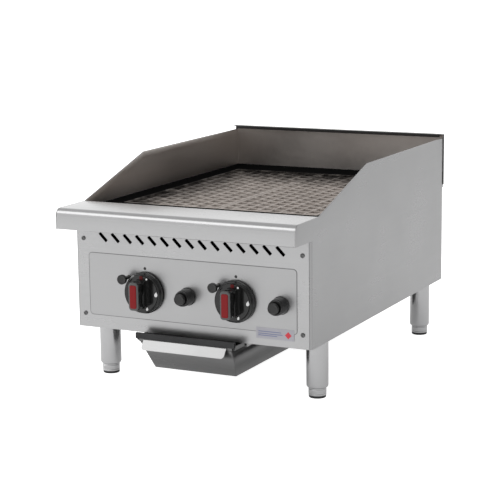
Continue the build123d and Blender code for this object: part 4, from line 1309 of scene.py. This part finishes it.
class CHARBROILER_OT_stage(bpy.types.Operator):
    """Set the pale floor, the soft studio light and the camera"""

    bl_idname = "charbroiler.stage"
    bl_label = "Stage"

    def execute(self, context):
        settings = context.scene.charbroiler_stage
        context.scene.view_settings.view_transform = "Standard"
        self.floor(context, settings)
        self.world(context)
        self.lights(context)
        self.camera(context, settings)
        return {"FINISHED"}

    def floor(self, context, settings):
        """A pale disc, a little brighter by its own light, so that it runs into the white background."""
        steps = 64
        angle = np.linspace(0, 2 * np.pi, steps, endpoint=False)
        disc = settings.floor_radius * np.stack([np.cos(angle), np.sin(angle), 0 * angle], axis=1)
        mesh = bpy.data.meshes.new("floor")
        mesh.from_pydata(disc.tolist(), [], [list(range(steps))])
        material, tree, shader = new_finish("pale_floor")
        seen = add_node(tree, "ShaderNodeLightPath").outputs["Is Camera Ray"]
        glow = span(tree, seen, 0.36, 0.9)
        wire(tree, shader, Base_Color=(0.8, 0.8, 0.8, 1), Roughness=0.9, Emission_Color=(1, 1, 1, 1))
        tree.links.new(glow, shader.inputs["Emission Strength"])
        mesh.materials.append(material)
        floor = bpy.data.objects.new("floor", mesh)
        context.scene.collection.objects.link(floor)

    def world(self, context):
        """A white room, brighter towards the rear left, with a dim ceiling."""
        world = bpy.data.worlds.new("studio")
        world.use_nodes = True
        tree = world.node_tree
        way = add_node(tree, "ShaderNodeTexCoord").outputs["Generated"]
        towards = add_node(
            tree, "ShaderNodeVectorMath", {0: way, 1: (-0.9, 0.43, 0)}, operation="DOT_PRODUCT"
        ).outputs["Value"]
        height = add_node(tree, "ShaderNodeSeparateXYZ", {0: way}).outputs["Z"]
        ceiling = span(tree, height, 1, 0.62, 0.38, 0.72)
        strength = blended(tree, span(tree, towards, 0.7, 1.3, -0.8, 0.8), ceiling, "MULTIPLY")
        background = tree.nodes["Background"]
        background.inputs["Color"].default_value = (1, 1, 1, 1)
        tree.links.new(strength, background.inputs["Strength"])
        context.scene.world = world

    def lights(self, context):
        """A wide soft box over the front, and a narrow one to the left."""
        aim = Vector((0, 0, 0.25))
        for name, place, size, power in (
            ("front_box", (-0.9, -1.9, 2.1), (3.2, 1.3), 20),
            ("left_box", (-2.4, -0.6, 1.4), (0.5, 1.8), 12),
        ):
            light = bpy.data.lights.new(name, "AREA")
            light.shape = "RECTANGLE"
            light.size, light.size_y = size
            light.energy = power
            holder = bpy.data.objects.new(name, light)
            holder.location = place
            holder.rotation_euler = (Vector(place) - aim).to_track_quat("Z", "Y").to_euler()
            context.scene.collection.objects.link(holder)

    def camera(self, context, settings):
        """The camera: its axes are the view's right and up, turned by the roll, and its back."""
        place, target = Vector(settings.camera_at), Vector(settings.camera_to)
        forward = (target - place).normalized()
        right = forward.cross(Vector((0, 0, 1))).normalized()
        up = right.cross(forward)
        c, s = math.cos(settings.camera_roll), math.sin(settings.camera_roll)
        axes = (c * right + s * up, c * up - s * right, -forward)
        data = bpy.data.cameras.new("camera")
        data.sensor_width = 36
        data.lens = settings.lens
        data.clip_end = 200
        camera = bpy.data.objects.new("camera", data)
        camera.matrix_world = Matrix.Translation(place) @ Matrix(axes).transposed().to_4x4()
        context.scene.collection.objects.link(camera)
        context.scene.camera = camera


class CHARBROILER_PT_sidebar(bpy.types.Panel):
    """The charbroiler's steps and settings"""

    bl_label = "Charbroiler"
    bl_space_type = "VIEW_3D"
    bl_region_type = "UI"
    bl_category = "Charbroiler"

    def draw(self, context):
        for step in OPERATORS:
            self.layout.operator(step.bl_idname)
        for name in SETTINGS:
            group = getattr(context.scene, name)
            box = self.layout.box()
            for key in group.__annotations__:
                box.prop(group, key)


SETTINGS = {
    "charbroiler_sheets": SheetSizes,
    "charbroiler_grates": GrateSizes,
    "charbroiler_knobs": KnobSizes,
    "charbroiler_tray": TraySizes,
    "charbroiler_finishes": Finishes,
    "charbroiler_stage": StageSettings,
}
OPERATORS = (
    CHARBROILER_OT_stage,
    CHARBROILER_OT_body,
    CHARBROILER_OT_prints,
    CHARBROILER_OT_ledge,
    CHARBROILER_OT_side_guards,
    CHARBROILER_OT_rear_guard,
    CHARBROILER_OT_grates,
    CHARBROILER_OT_firebox,
    CHARBROILER_OT_gas_train,
    CHARBROILER_OT_knobs,
    CHARBROILER_OT_buttons,
    CHARBROILER_OT_drip_tray,
    CHARBROILER_OT_legs,
)


def register():
    """Register the settings, the steps and the panel."""
    for group in SETTINGS.values():
        bpy.utils.register_class(group)
    for name, group in SETTINGS.items():
        setattr(bpy.types.Scene, name, PointerProperty(type=group))
    for step in (*OPERATORS, CHARBROILER_PT_sidebar):
        bpy.utils.register_class(step)


def unregister():
    """Undo what register does."""
    for step in (CHARBROILER_PT_sidebar, *reversed(OPERATORS)):
        bpy.utils.unregister_class(step)
    for name, group in reversed(SETTINGS.items()):
        delattr(bpy.types.Scene, name)
        bpy.utils.unregister_class(group)


def main():
    register()
    for step in OPERATORS:
        family, name = step.bl_idname.split(".")
        getattr(getattr(bpy.ops, family), name)()


if __name__ == "__main__":
    main()
